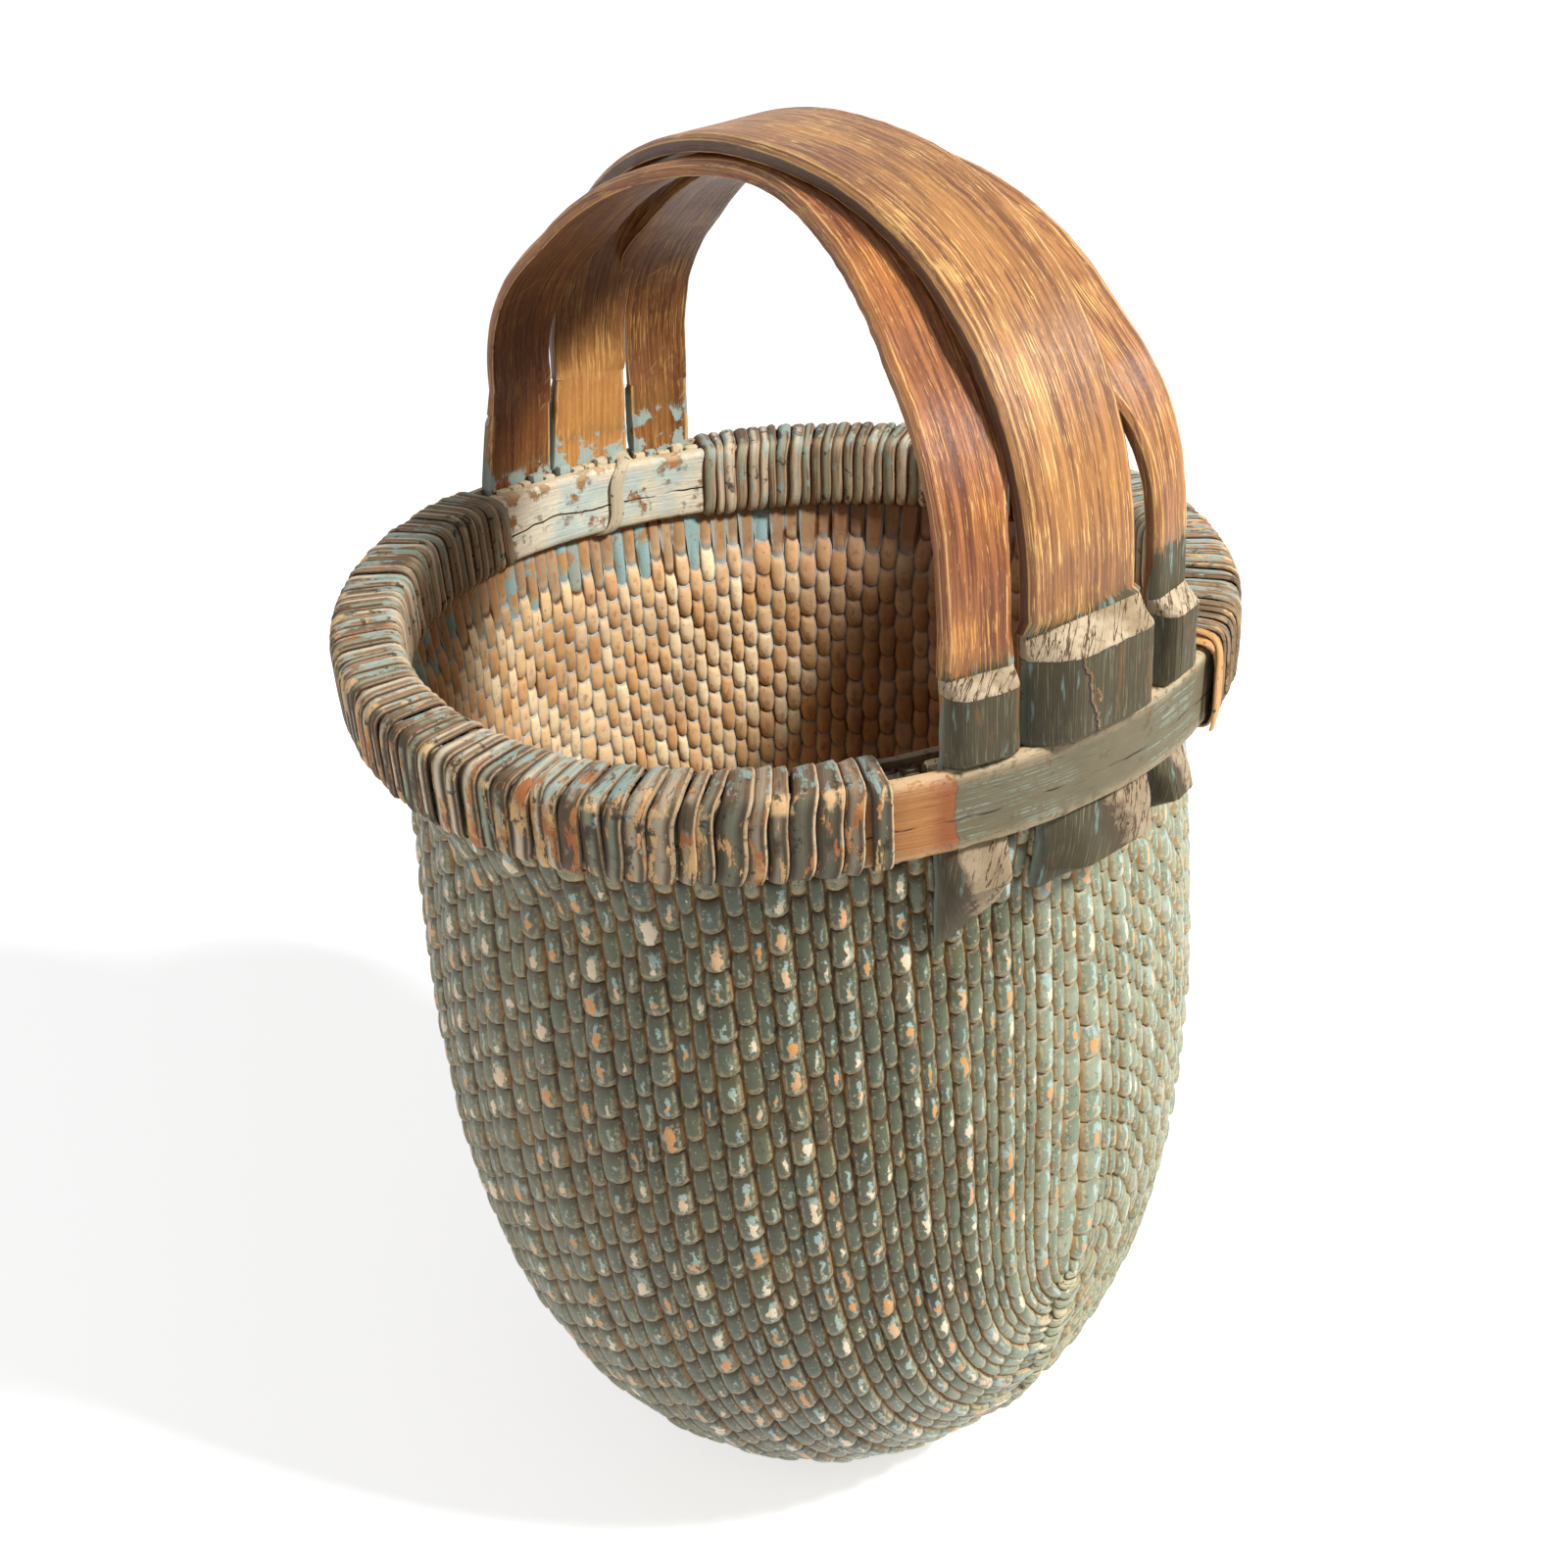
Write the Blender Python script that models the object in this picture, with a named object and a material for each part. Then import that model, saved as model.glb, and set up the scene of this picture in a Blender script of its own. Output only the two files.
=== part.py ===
"""Handled woven grain basket, in metres, +Z up.

A deep willow body is clamped at its mouth between an inner and an outer bent
wood hoop and bound with split cane. Three bentwood strips make the handle:
each end is a notched block that hooks over and under the outer hoop.
The origin is on the floor under the middle of the rim, and the handle runs along X.
"""

import math
from dataclasses import dataclass

import bpy
import numpy as np
from mathutils import Vector

# Rim ring, seen from above: bent by hand, so a little out of round and out of level
RIM_HEIGHT = 0.4165
RIM_RADIUS = 0.1667
RIM_ROUND_SHARES = ((2, -0.014, -0.013), (3, 0.023, 0.027), (4, 0.0, 0.011))
RIM_WARP = 0.0072
RIM_STEPS = 60

# Clearances between pieces that touch
SEAT_GAP = 0.0003
BENT_GAP = 0.0005

# Rim layers, from inside to outside: inner hoop, woven wall, strip or padding, outer hoop
HOOP_THICKNESS = 0.0055
HOOP_HEIGHT = 0.0314
HOOP_CHAMFER = 0.0028
WALL_THICKNESS = 0.0060
NOTCH_THICKNESS = 0.0047
PADDING_CLEARANCE = 0.0027

# Woven body: how far its oval is taken in at the top and let out at the floor, beside the rim's circle
BODY_TOP_TAKE_IN_LENGTH = 0.0116
BODY_TOP_TAKE_IN_WIDTH = 0.0088
BODY_LOW_LET_OUT_LENGTH = 0.0265
BODY_LOW_LET_OUT_WIDTH = 0.0299
BODY_LEAN = 0.0055
BODY_FALL_POWER = 3.0
BODY_CORNER_POWER = 2.2
FOOT_SHARE = 0.26
BODY_ROWS = 11
FLARE_ROWS = 6
WALL_TOP_DROP = 0.0002
FLARE_START = 0.0200
FLARE_LENGTH = 0.0400
WARP_FADE_DEPTH = 0.1500

# Proud willow rods: every third rod of the weave stands out as a rib down the wall
RIB_COUNT = 44
RIB_RELIEF = 0.0019
RIB_SINK_SHARE = 0.18
RIB_FOOT_FADE = 0.0600

# Cane binding: one flat strip wound round the whole rim, between these plan angles
CANE_THICKNESS = 0.0014
CANE_NECK = 0.0070
CANE_COVER_SHARE = 0.94
BINDING_TURNS = 24
FRONT_BINDING_DEG = (-29.0, -159.8)
BACK_BINDING_DEG = (20.4, 157.9)
PADDING_INSET_DEG = 1.0
SLOT_CLEARANCE = 0.0006
SLOT_OVERRUN = 0.0060
LEAST_SELF_GAP = 0.0004

# Single cane wraps: the last one of the front binding, and the tie over the bare inner hoop
END_WRAP_WIDTH = 0.0082
END_WRAP_DEG = (-26.6, -27.1)
TIE_WIDTH = 0.0085
TIE_DEG = (172.6, 176.2)

# Handle arch, measured above the rim's middle plane
CROWN_RISE = 0.1922
CROWN_ALONG = 0.0064
CROWN_ACROSS = 0.0114
CROWN_TURN = 0.105
CROWN_TILT = 0.059
ARCH_BASE = 0.0610
ARCH_POWER_RIGHT = 2.40
ARCH_POWER_LEFT = 1.88
ARCH_STEPS = 34
EDGE_ROUND = 0.0025
EDGE_DEPTH_SHARE = 0.72

# Side strips run under the middle one over this share of the arch, then come out beside it
DROP_START_SHARE = 0.74
DROP_RUN_SHARE = 0.26
UNDER_GAP = 0.0023

# Notched ends of the handle strips
HEEL_RISE = 0.0060
HEEL_GAP = 0.0010
LOWER_ROWS = 5
TIP_ROWS = 3

# Handle strips: the middle one lies over the two side ones
MIDDLE_THICKNESS = 0.0070
SIDE_THICKNESS = 0.0060

# Middle strip: places of its ends along the rim from the X axis, its widths, and its notched blocks
MIDDLE_RIGHT_PLACE = -0.0020
MIDDLE_RIGHT_TIP_PLACE = 0.0055
MIDDLE_RIGHT_WIDTH = 0.0485
MIDDLE_RIGHT_NEAR_CHAMFER = 0.0125
MIDDLE_RIGHT_FAR_CHAMFER = 0.0045
MIDDLE_LEFT_PLACE = 0.0137
MIDDLE_LEFT_RIM_PLACE = 0.0081
MIDDLE_LEFT_WIDTH = 0.0365
MIDDLE_LEFT_RIM_WIDTH = 0.0420
MIDDLE_LEFT_NEAR_CHAMFER = 0.0100
MIDDLE_LEFT_FAR_CHAMFER = 0.0045
MIDDLE_CROWN_WIDTH = 0.0490
MIDDLE_CROWN_BLEND_SHARE = 0.8
MIDDLE_BACK_RISE = 0.0575
MIDDLE_FRONT_RISE = 0.0495
MIDDLE_BLOCK_DEPTH = 0.0168
MIDDLE_LOWER_DEPTH = 0.0175
MIDDLE_LOWER_DROP = 0.0380
MIDDLE_TIP_DROP = 0.0465
MIDDLE_TIP_SLANT = 0.0040
MIDDLE_TIP_THICKNESS = 0.0060

# Front strip: places of its ends along the rim from the X axis, its widths, and its notched blocks
FRONT_RIGHT_PLACE = -0.0416
FRONT_RIGHT_TIP_PLACE = -0.0442
FRONT_RIGHT_WIDTH = 0.0262
FRONT_RIGHT_NEAR_CHAMFER = 0.0050
FRONT_RIGHT_FAR_CHAMFER = 0.0025
FRONT_LEFT_PLACE = -0.0256
FRONT_LEFT_RIM_PLACE = -0.0340
FRONT_LEFT_WIDTH = 0.0330
FRONT_LEFT_RIM_WIDTH = 0.0380
FRONT_LEFT_NEAR_CHAMFER = 0.0150
FRONT_LEFT_FAR_CHAMFER = 0.0025
FRONT_CROWN_WIDTH = 0.0165
FRONT_CROWN_OFFSET = -0.0192
FRONT_CROWN_BLEND_SHARE = 0.15
FRONT_BACK_RISE = 0.0490
FRONT_FRONT_RISE = 0.0440
FRONT_BLOCK_DEPTH = 0.0128
FRONT_LOWER_DEPTH = 0.0150
FRONT_LOWER_DROP = 0.0320
FRONT_TIP_DROP = 0.0530
FRONT_TIP_SLANT = 0.0120
FRONT_TIP_THICKNESS = 0.0035

# Back strip: places of its ends along the rim from the X axis, its widths, and its notched blocks
BACK_RIGHT_PLACE = 0.0390
BACK_RIGHT_TIP_PLACE = 0.0425
BACK_RIGHT_WIDTH = 0.0210
BACK_RIGHT_NEAR_CHAMFER = 0.0025
BACK_RIGHT_FAR_CHAMFER = 0.0050
BACK_LEFT_PLACE = 0.0486
BACK_LEFT_RIM_PLACE = 0.0466
BACK_LEFT_WIDTH = 0.0290
BACK_LEFT_RIM_WIDTH = 0.0295
BACK_LEFT_NEAR_CHAMFER = 0.0025
BACK_LEFT_FAR_CHAMFER = 0.0050
BACK_CROWN_WIDTH = 0.0220
BACK_CROWN_OFFSET = 0.0300
BACK_CROWN_BLEND_SHARE = 0.15
BACK_BACK_RISE = 0.0490
BACK_FRONT_RISE = 0.0440
BACK_BLOCK_DEPTH = 0.0140
BACK_LOWER_DEPTH = 0.0165
BACK_LOWER_DROP = 0.0330
BACK_TIP_DROP = 0.0440
BACK_TIP_SLANT = -0.0060
BACK_TIP_THICKNESS = 0.0050


@dataclass
class End:
    """One end of a strip: places along the rim and widths down its length, and its block's chamfers."""

    arch_place: float
    rim_place: float
    tip_place: float
    arch_width: float
    rim_width: float
    near_chamfer: float
    far_chamfer: float


@dataclass
class Strip:
    """One handle strip: where its ends stand on the rim, its widths and its notched blocks.

    Rises and drops are measured from the rim's middle plane, and depths from the
    strip's inner face. Near is the side of the strip toward -Y.
    """

    name: str
    right: End
    left: End
    crown_width: float
    crown_offset: float
    crown_blend: float
    thickness: float
    drop: float
    block_back_rise: float
    block_front_rise: float
    block_depth: float
    lower_depth: float
    lower_drop: float
    tip_drop: float
    tip_slant: float
    tip_thickness: float


STRIPS = (
    Strip(
        name="handle_strip_middle",
        right=End(
            arch_place=MIDDLE_RIGHT_PLACE,
            rim_place=MIDDLE_RIGHT_PLACE,
            tip_place=MIDDLE_RIGHT_TIP_PLACE,
            arch_width=MIDDLE_RIGHT_WIDTH,
            rim_width=MIDDLE_RIGHT_WIDTH,
            near_chamfer=MIDDLE_RIGHT_NEAR_CHAMFER,
            far_chamfer=MIDDLE_RIGHT_FAR_CHAMFER,
        ),
        left=End(
            arch_place=MIDDLE_LEFT_PLACE,
            rim_place=MIDDLE_LEFT_RIM_PLACE,
            tip_place=MIDDLE_LEFT_RIM_PLACE,
            arch_width=MIDDLE_LEFT_WIDTH,
            rim_width=MIDDLE_LEFT_RIM_WIDTH,
            near_chamfer=MIDDLE_LEFT_NEAR_CHAMFER,
            far_chamfer=MIDDLE_LEFT_FAR_CHAMFER,
        ),
        crown_width=MIDDLE_CROWN_WIDTH,
        crown_offset=0.0,
        crown_blend=MIDDLE_CROWN_BLEND_SHARE,
        thickness=MIDDLE_THICKNESS,
        drop=0.0,
        block_back_rise=MIDDLE_BACK_RISE,
        block_front_rise=MIDDLE_FRONT_RISE,
        block_depth=MIDDLE_BLOCK_DEPTH,
        lower_depth=MIDDLE_LOWER_DEPTH,
        lower_drop=MIDDLE_LOWER_DROP,
        tip_drop=MIDDLE_TIP_DROP,
        tip_slant=MIDDLE_TIP_SLANT,
        tip_thickness=MIDDLE_TIP_THICKNESS,
    ),
    Strip(
        name="handle_strip_front",
        right=End(
            arch_place=FRONT_RIGHT_PLACE,
            rim_place=FRONT_RIGHT_PLACE,
            tip_place=FRONT_RIGHT_TIP_PLACE,
            arch_width=FRONT_RIGHT_WIDTH,
            rim_width=FRONT_RIGHT_WIDTH,
            near_chamfer=FRONT_RIGHT_NEAR_CHAMFER,
            far_chamfer=FRONT_RIGHT_FAR_CHAMFER,
        ),
        left=End(
            arch_place=FRONT_LEFT_PLACE,
            rim_place=FRONT_LEFT_RIM_PLACE,
            tip_place=FRONT_LEFT_RIM_PLACE,
            arch_width=FRONT_LEFT_WIDTH,
            rim_width=FRONT_LEFT_RIM_WIDTH,
            near_chamfer=FRONT_LEFT_NEAR_CHAMFER,
            far_chamfer=FRONT_LEFT_FAR_CHAMFER,
        ),
        crown_width=FRONT_CROWN_WIDTH,
        crown_offset=FRONT_CROWN_OFFSET,
        crown_blend=FRONT_CROWN_BLEND_SHARE,
        thickness=SIDE_THICKNESS,
        drop=SIDE_THICKNESS + UNDER_GAP,
        block_back_rise=FRONT_BACK_RISE,
        block_front_rise=FRONT_FRONT_RISE,
        block_depth=FRONT_BLOCK_DEPTH,
        lower_depth=FRONT_LOWER_DEPTH,
        lower_drop=FRONT_LOWER_DROP,
        tip_drop=FRONT_TIP_DROP,
        tip_slant=FRONT_TIP_SLANT,
        tip_thickness=FRONT_TIP_THICKNESS,
    ),
    Strip(
        name="handle_strip_back",
        right=End(
            arch_place=BACK_RIGHT_PLACE,
            rim_place=BACK_RIGHT_PLACE,
            tip_place=BACK_RIGHT_TIP_PLACE,
            arch_width=BACK_RIGHT_WIDTH,
            rim_width=BACK_RIGHT_WIDTH,
            near_chamfer=BACK_RIGHT_NEAR_CHAMFER,
            far_chamfer=BACK_RIGHT_FAR_CHAMFER,
        ),
        left=End(
            arch_place=BACK_LEFT_PLACE,
            rim_place=BACK_LEFT_RIM_PLACE,
            tip_place=BACK_LEFT_RIM_PLACE,
            arch_width=BACK_LEFT_WIDTH,
            rim_width=BACK_LEFT_RIM_WIDTH,
            near_chamfer=BACK_LEFT_NEAR_CHAMFER,
            far_chamfer=BACK_LEFT_FAR_CHAMFER,
        ),
        crown_width=BACK_CROWN_WIDTH,
        crown_offset=BACK_CROWN_OFFSET,
        crown_blend=BACK_CROWN_BLEND_SHARE,
        thickness=SIDE_THICKNESS,
        drop=SIDE_THICKNESS + UNDER_GAP,
        block_back_rise=BACK_BACK_RISE,
        block_front_rise=BACK_FRONT_RISE,
        block_depth=BACK_BLOCK_DEPTH,
        lower_depth=BACK_LOWER_DEPTH,
        lower_drop=BACK_LOWER_DROP,
        tip_drop=BACK_TIP_DROP,
        tip_slant=BACK_TIP_SLANT,
        tip_thickness=BACK_TIP_THICKNESS,
    ),
)

# Radial places of the layers, as offsets from the rim's middle radius
PACK_WIDTH = 2 * HOOP_THICKNESS + WALL_THICKNESS + NOTCH_THICKNESS + SEAT_GAP + 2 * BENT_GAP
INNER_HOOP_IN = -PACK_WIDTH / 2
INNER_HOOP_OUT = INNER_HOOP_IN + HOOP_THICKNESS
WALL_IN = INNER_HOOP_OUT + SEAT_GAP
WALL_OUT = WALL_IN + WALL_THICKNESS
STRIP_IN = WALL_OUT + BENT_GAP
STRIP_NOTCH = STRIP_IN + NOTCH_THICKNESS
OUTER_HOOP_IN = STRIP_NOTCH + BENT_GAP
OUTER_HOOP_OUT = OUTER_HOOP_IN + HOOP_THICKNESS


def rim_radius(angle):
    """Middle radius of the rim at a plan angle: a circle with a few slow waves."""
    waves = sum(a * np.cos(k * angle) + b * np.sin(k * angle) for k, a, b in RIM_ROUND_SHARES)
    return RIM_RADIUS * (1 + waves)


def rim_level(angle):
    """Height of the rim's middle plane at a plan angle: it dips and rises twice a turn."""
    return RIM_HEIGHT + RIM_WARP * np.sin(2 * angle)


def around_rim(angle, offset, rise):
    """Points at a plan angle, a radial offset and a rise from the rim's middle."""
    radius = rim_radius(angle) + offset
    return np.stack([radius * np.cos(angle), radius * np.sin(angle), rim_level(angle) + rise], axis=-1)


def smooth(value):
    """Smooth step from 0 to 1."""
    share = np.clip(value, 0, 1)
    return share * share * (3 - 2 * share)


def make_material(name, color, roughness):
    """A Principled material with a plain colour."""
    material = bpy.data.materials.new(name)
    material.use_nodes = True
    shader = material.node_tree.nodes["Principled BSDF"]
    shader.inputs["Base Color"].default_value = (*color, 1)
    shader.inputs["Roughness"].default_value = roughness
    shader.inputs["Metallic"].default_value = 0
    material.diffuse_color = (*color, 1)
    return material


def mesh_object(name, points, faces, material=None):
    """A new mesh object from points and faces."""
    mesh = bpy.data.meshes.new(name)
    mesh.from_pydata(np.asarray(points).tolist(), [], faces)
    mesh.validate()
    mesh.update()
    shape = bpy.data.objects.new(name, mesh)
    bpy.context.scene.collection.objects.link(shape)
    if material is not None:
        mesh.materials.append(material)
    return shape


def volume_sign(points, faces):
    """Sign of the enclosed volume, from the first corner of each face."""
    total = 0.0
    for face in faces:
        first = Vector(points[face[0]])
        for left, right in zip(face[1:], face[2:]):
            total += first.dot(Vector(points[left]).cross(Vector(points[right])))
    return 1 if total > 0 else -1


def loft(name, rings, material, closed=False):
    """A solid through rings of points: capped at both ends, or closed on itself."""
    rings = np.asarray(rings)
    count, size, _ = rings.shape
    index = np.arange(count * size).reshape(count, size)
    faces = []
    for low in range(count if closed else count - 1):
        high = (low + 1) % count
        for side in range(size):
            turn = (side + 1) % size
            faces.append((index[low, side], index[low, turn], index[high, turn], index[high, side]))
    if not closed:
        faces.append(tuple(index[0, ::-1]))
        faces.append(tuple(index[-1]))
    faces = [tuple(int(corner) for corner in face) for face in faces]
    points = rings.reshape(-1, 3)
    if volume_sign(points, faces) < 0:
        faces = [face[::-1] for face in faces]
    return mesh_object(name, points, faces, material)


def shade_round(shape, sharp_angle):
    """Smooth shading with the true edges kept sharp."""
    shape.data.shade_smooth()
    shape.data.set_sharp_from_angle(angle=sharp_angle)


def body_section(angle, depth_share):
    """Outer plan point of the body at a plan angle and a share of the depth."""
    fall = (1 - FOOT_SHARE ** BODY_CORNER_POWER) * depth_share ** BODY_FALL_POWER
    corner = np.clip(1 - fall, 0, 1) ** (1 / BODY_CORNER_POWER)
    length_room = (BODY_LOW_LET_OUT_LENGTH + BODY_TOP_TAKE_IN_LENGTH) * depth_share
    width_room = (BODY_LOW_LET_OUT_WIDTH + BODY_TOP_TAKE_IN_WIDTH) * depth_share
    half_length = RIM_RADIUS - BODY_TOP_TAKE_IN_LENGTH + length_room
    half_width = RIM_RADIUS - BODY_TOP_TAKE_IN_WIDTH + width_room
    radius = corner / np.hypot(np.cos(angle) / half_length, np.sin(angle) / half_width)
    return radius


def wall_radius(angle, height):
    """Outer radius of the woven wall: the body's own below, the rim's inside the hoops."""
    below = rim_level(angle) - height
    share = np.clip((RIM_HEIGHT - height) / RIM_HEIGHT, 0, 1)
    flare = smooth((below - FLARE_START) / FLARE_LENGTH)
    belly = body_section(angle, share) + BODY_LEAN * share * np.cos(angle)
    return (1 - flare) * (rim_radius(angle) + WALL_OUT) + flare * belly


def rib_relief(angles, height):
    """How far the wall stands out on a rib or in between, fading out toward the hoops and the foot."""
    below = rim_level(angles) - height
    shown = smooth((below - FLARE_START) / FLARE_LENGTH) * smooth(height / RIB_FOOT_FADE)
    return RIB_RELIEF * (np.cos(RIB_COUNT * angles) / 2 - RIB_SINK_SHARE) * shown


def body_ring(angles, height, inset):
    """One ring of the body at a height that follows the rim's warp near the top."""
    warp = (rim_level(angles) - RIM_HEIGHT) * smooth(1 - (RIM_HEIGHT - height) / WARP_FADE_DEPTH)
    level = height + warp
    radius = wall_radius(angles, level) + rib_relief(angles, level) - inset
    return np.stack([radius * np.cos(angles), radius * np.sin(angles), level], axis=-1)


def build_woven_body(material):
    """The willow body: a ribbed round bucket, open at the top, that stands on a flat oval foot."""
    angles = np.linspace(0, 2 * math.pi, 2 * RIB_COUNT, endpoint=False)
    flare_end = FLARE_START + FLARE_LENGTH
    shares = np.sin(np.linspace(math.pi / 2, math.asin(flare_end / RIM_HEIGHT), BODY_ROWS))
    upper = list(RIM_HEIGHT - np.linspace(flare_end, FLARE_START, FLARE_ROWS + 1)[1:])
    upper += [RIM_HEIGHT, RIM_HEIGHT + HOOP_HEIGHT / 2 - WALL_TOP_DROP]
    outer = [body_ring(angles, RIM_HEIGHT * (1 - share), 0.0) for share in shares]
    outer += [body_ring(angles, height, 0.0) for height in upper]
    room = RIM_HEIGHT - WALL_THICKNESS
    inner = [body_ring(angles, height, WALL_THICKNESS) for height in reversed(upper)]
    inner += [body_ring(angles, RIM_HEIGHT - room * share, WALL_THICKNESS) for share in reversed(shares)]
    body = loft("woven_body", outer + inner, material)
    shade_round(body, math.radians(50))
    return body


def hoop_section(inner, outer, chamfered):
    """Section of a hoop as (offset, rise) points, with both long edges of one face chamfered."""
    half = HOOP_HEIGHT / 2
    shown, hidden = (inner, outer) if chamfered == "inner" else (outer, inner)
    step = HOOP_CHAMFER if shown < hidden else -HOOP_CHAMFER
    return (
        (hidden, -half),
        (hidden, half),
        (shown + step, half),
        (shown, half - HOOP_CHAMFER),
        (shown, -half + HOOP_CHAMFER),
        (shown + step, -half),
    )


def build_hoop(name, section, material):
    """A bent wood hoop: one flat band carried right round the rim."""
    angles = np.linspace(0, 2 * math.pi, RIM_STEPS, endpoint=False)
    rings = np.stack([around_rim(angles, offset, rise) for offset, rise in section], axis=1)
    hoop = loft(name, rings, material, closed=True)
    shade_round(hoop, math.radians(35))
    return hoop


def build_padding(name, span_deg, material):
    """The bundle of willow rods that fills the rim between wall and outer hoop, under the binding."""
    start, end = (math.radians(value) for value in span_deg)
    inset = math.copysign(math.radians(PADDING_INSET_DEG), end - start)
    steps = max(3, round(RIM_STEPS * abs(end - start) / (2 * math.pi)))
    angles = np.linspace(start + inset, end - inset, steps)
    half = HOOP_HEIGHT / 2 - PADDING_CLEARANCE
    section = ((STRIP_IN, -half), (STRIP_NOTCH, -half), (STRIP_NOTCH, half), (STRIP_IN, half))
    rings = np.stack([around_rim(angles, offset, rise) for offset, rise in section], axis=1)
    return loft(name, rings, material)


def corner_arc(side, top, start_deg, end_deg):
    """Three path points round one corner of the rim's section, each with its outward direction."""
    half = HOOP_HEIGHT / 2
    middle = (side * (PACK_WIDTH / 2 - HOOP_CHAMFER), top * (half - HOOP_CHAMFER))
    reach = HOOP_CHAMFER + BENT_GAP + CANE_THICKNESS / 2
    arc = []
    for degrees in np.linspace(start_deg, end_deg, 3):
        out = (math.cos(math.radians(degrees)), math.sin(math.radians(degrees)))
        arc.append((middle[0] + reach * out[0], middle[1] + reach * out[1], *out, 1.0))
    return arc


def turn_path(neck_share):
    """One turn round the rim, from the wall's outer face to its inner face.

    Each point is (offset, rise, outward offset, outward rise, width share). The
    cane narrows where it squeezes between the willow rods, under the hoops.
    """
    under = -HOOP_HEIGHT / 2 - BENT_GAP - CANE_THICKNESS / 2
    over = -under
    far = PACK_WIDTH / 2 + BENT_GAP + CANE_THICKNESS / 2
    quarter = (WALL_OUT + PACK_WIDTH / 2) / 2
    path = [
        (WALL_OUT + BENT_GAP, under, 0, -1, neck_share),
        (WALL_OUT + BENT_GAP + CANE_THICKNESS, under, 0, -1, neck_share),
        (quarter, under, 0, -1, 1.0),
    ]
    path += corner_arc(1, -1, -90, 0)
    path += [(far, 0.0, 1, 0, 1.0)]
    path += corner_arc(1, 1, 0, 90)
    path += [(0.0, over, 0, 1, 1.0)]
    path += corner_arc(-1, 1, 90, 180)
    path += [(-far, 0.0, -1, 0, 1.0)]
    path += corner_arc(-1, -1, 180, 270)
    path += [(WALL_IN - BENT_GAP - CANE_THICKNESS, under, 0, -1, neck_share)]
    return np.array(path)


def cane_rings(path, angles, half_angle):
    """Four corners of the flat cane at each path point."""
    spread = path[:, 4] * half_angle
    rings = []
    for sideways, outward in ((-1, -1), (1, -1), (1, 1), (-1, 1)):
        lift = outward * CANE_THICKNESS / 2
        offset = path[:, 0] + lift * path[:, 2]
        rise = path[:, 1] + lift * path[:, 3]
        rings.append(around_rim(angles + sideways * spread, offset, rise))
    return np.stack(rings, axis=1)


def least_gap(rings, per_turn):
    """Least distance between points of one turn and the next, edge to edge."""
    near = rings[:-per_turn]
    far = rings[per_turn:]
    pairs = [(1, 0), (2, 3), (0, 1), (3, 2)]
    return min(float(np.linalg.norm(near[:, a] - far[:, b], axis=1).min()) for a, b in pairs)


def binding_steps(span_deg):
    """Start, pitch and half width of a binding's turns, so that their edges fill the span.

    A turn takes `lap` of the pitch to come round to the wall's inner face, and
    crosses the wall to the next turn over the rest.
    """
    start, end = (math.radians(value) for value in span_deg)
    path = turn_path(1.0)
    reach = np.linalg.norm(np.diff(path[:, :2], axis=0), axis=1).sum()
    lap = reach / (reach + WALL_THICKNESS + 2 * (BENT_GAP + CANE_THICKNESS))
    pitch = (end - start) / (BINDING_TURNS - 1 + lap + CANE_COVER_SHARE)
    return start, pitch, abs(pitch) * CANE_COVER_SHARE / 2, lap


def build_binding(name, span_deg, material):
    """A cane winding: one unbroken flat strip that goes round the rim in even turns."""
    start, pitch, half_angle, lap = binding_steps(span_deg)
    one = turn_path(CANE_NECK / (2 * half_angle * RIM_RADIUS))
    travel = np.concatenate([[0.0], np.cumsum(np.linalg.norm(np.diff(one[:, :2], axis=0), axis=1))])
    travel *= lap / travel[-1]
    last = one[-1] + np.array([CANE_THICKNESS, 0, 0, 0, 0])
    path = np.concatenate([one] * BINDING_TURNS + [[last]])
    shares = np.concatenate([turn + travel for turn in range(BINDING_TURNS)] + [[BINDING_TURNS - 1 + lap]])
    rings = cane_rings(path, start + pitch * (CANE_COVER_SHARE / 2 + shares), half_angle)
    gap = least_gap(rings, len(one))
    print(f"{name}: least gap between turns {gap * 1000:.2f} mm")
    assert gap > LEAST_SELF_GAP
    return loft(name, rings, material)


def build_end_wrap(material):
    """The last single wrap of the front binding, beside the bare stretch of the outer hoop."""
    path = turn_path(CANE_NECK / END_WRAP_WIDTH)
    start, end = (math.radians(value) for value in END_WRAP_DEG)
    half_angle = END_WRAP_WIDTH / 2 / RIM_RADIUS
    return loft("end_wrap", cane_rings(path, np.linspace(start, end, len(path)), half_angle), material)


def slot_box(angle, crossing):
    """Corners of one slot through the wall, wide enough for the angle that the cane moves on in it."""
    half_angle = (CANE_NECK / 2 + SLOT_CLEARANCE) / RIM_RADIUS + abs(crossing) / 2
    half_height = CANE_THICKNESS / 2 + SLOT_CLEARANCE / 2
    under = -HOOP_HEIGHT / 2 - BENT_GAP - CANE_THICKNESS / 2
    corners = []
    for rise in (under - half_height, under + half_height):
        for sideways, offset in ((-1, WALL_IN), (1, WALL_IN), (1, WALL_OUT), (-1, WALL_OUT)):
            reach = SLOT_OVERRUN if offset == WALL_OUT else -SLOT_OVERRUN
            corners.append(around_rim(np.array(angle + sideways * half_angle), offset + reach, rise))
    return np.array(corners)


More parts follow.
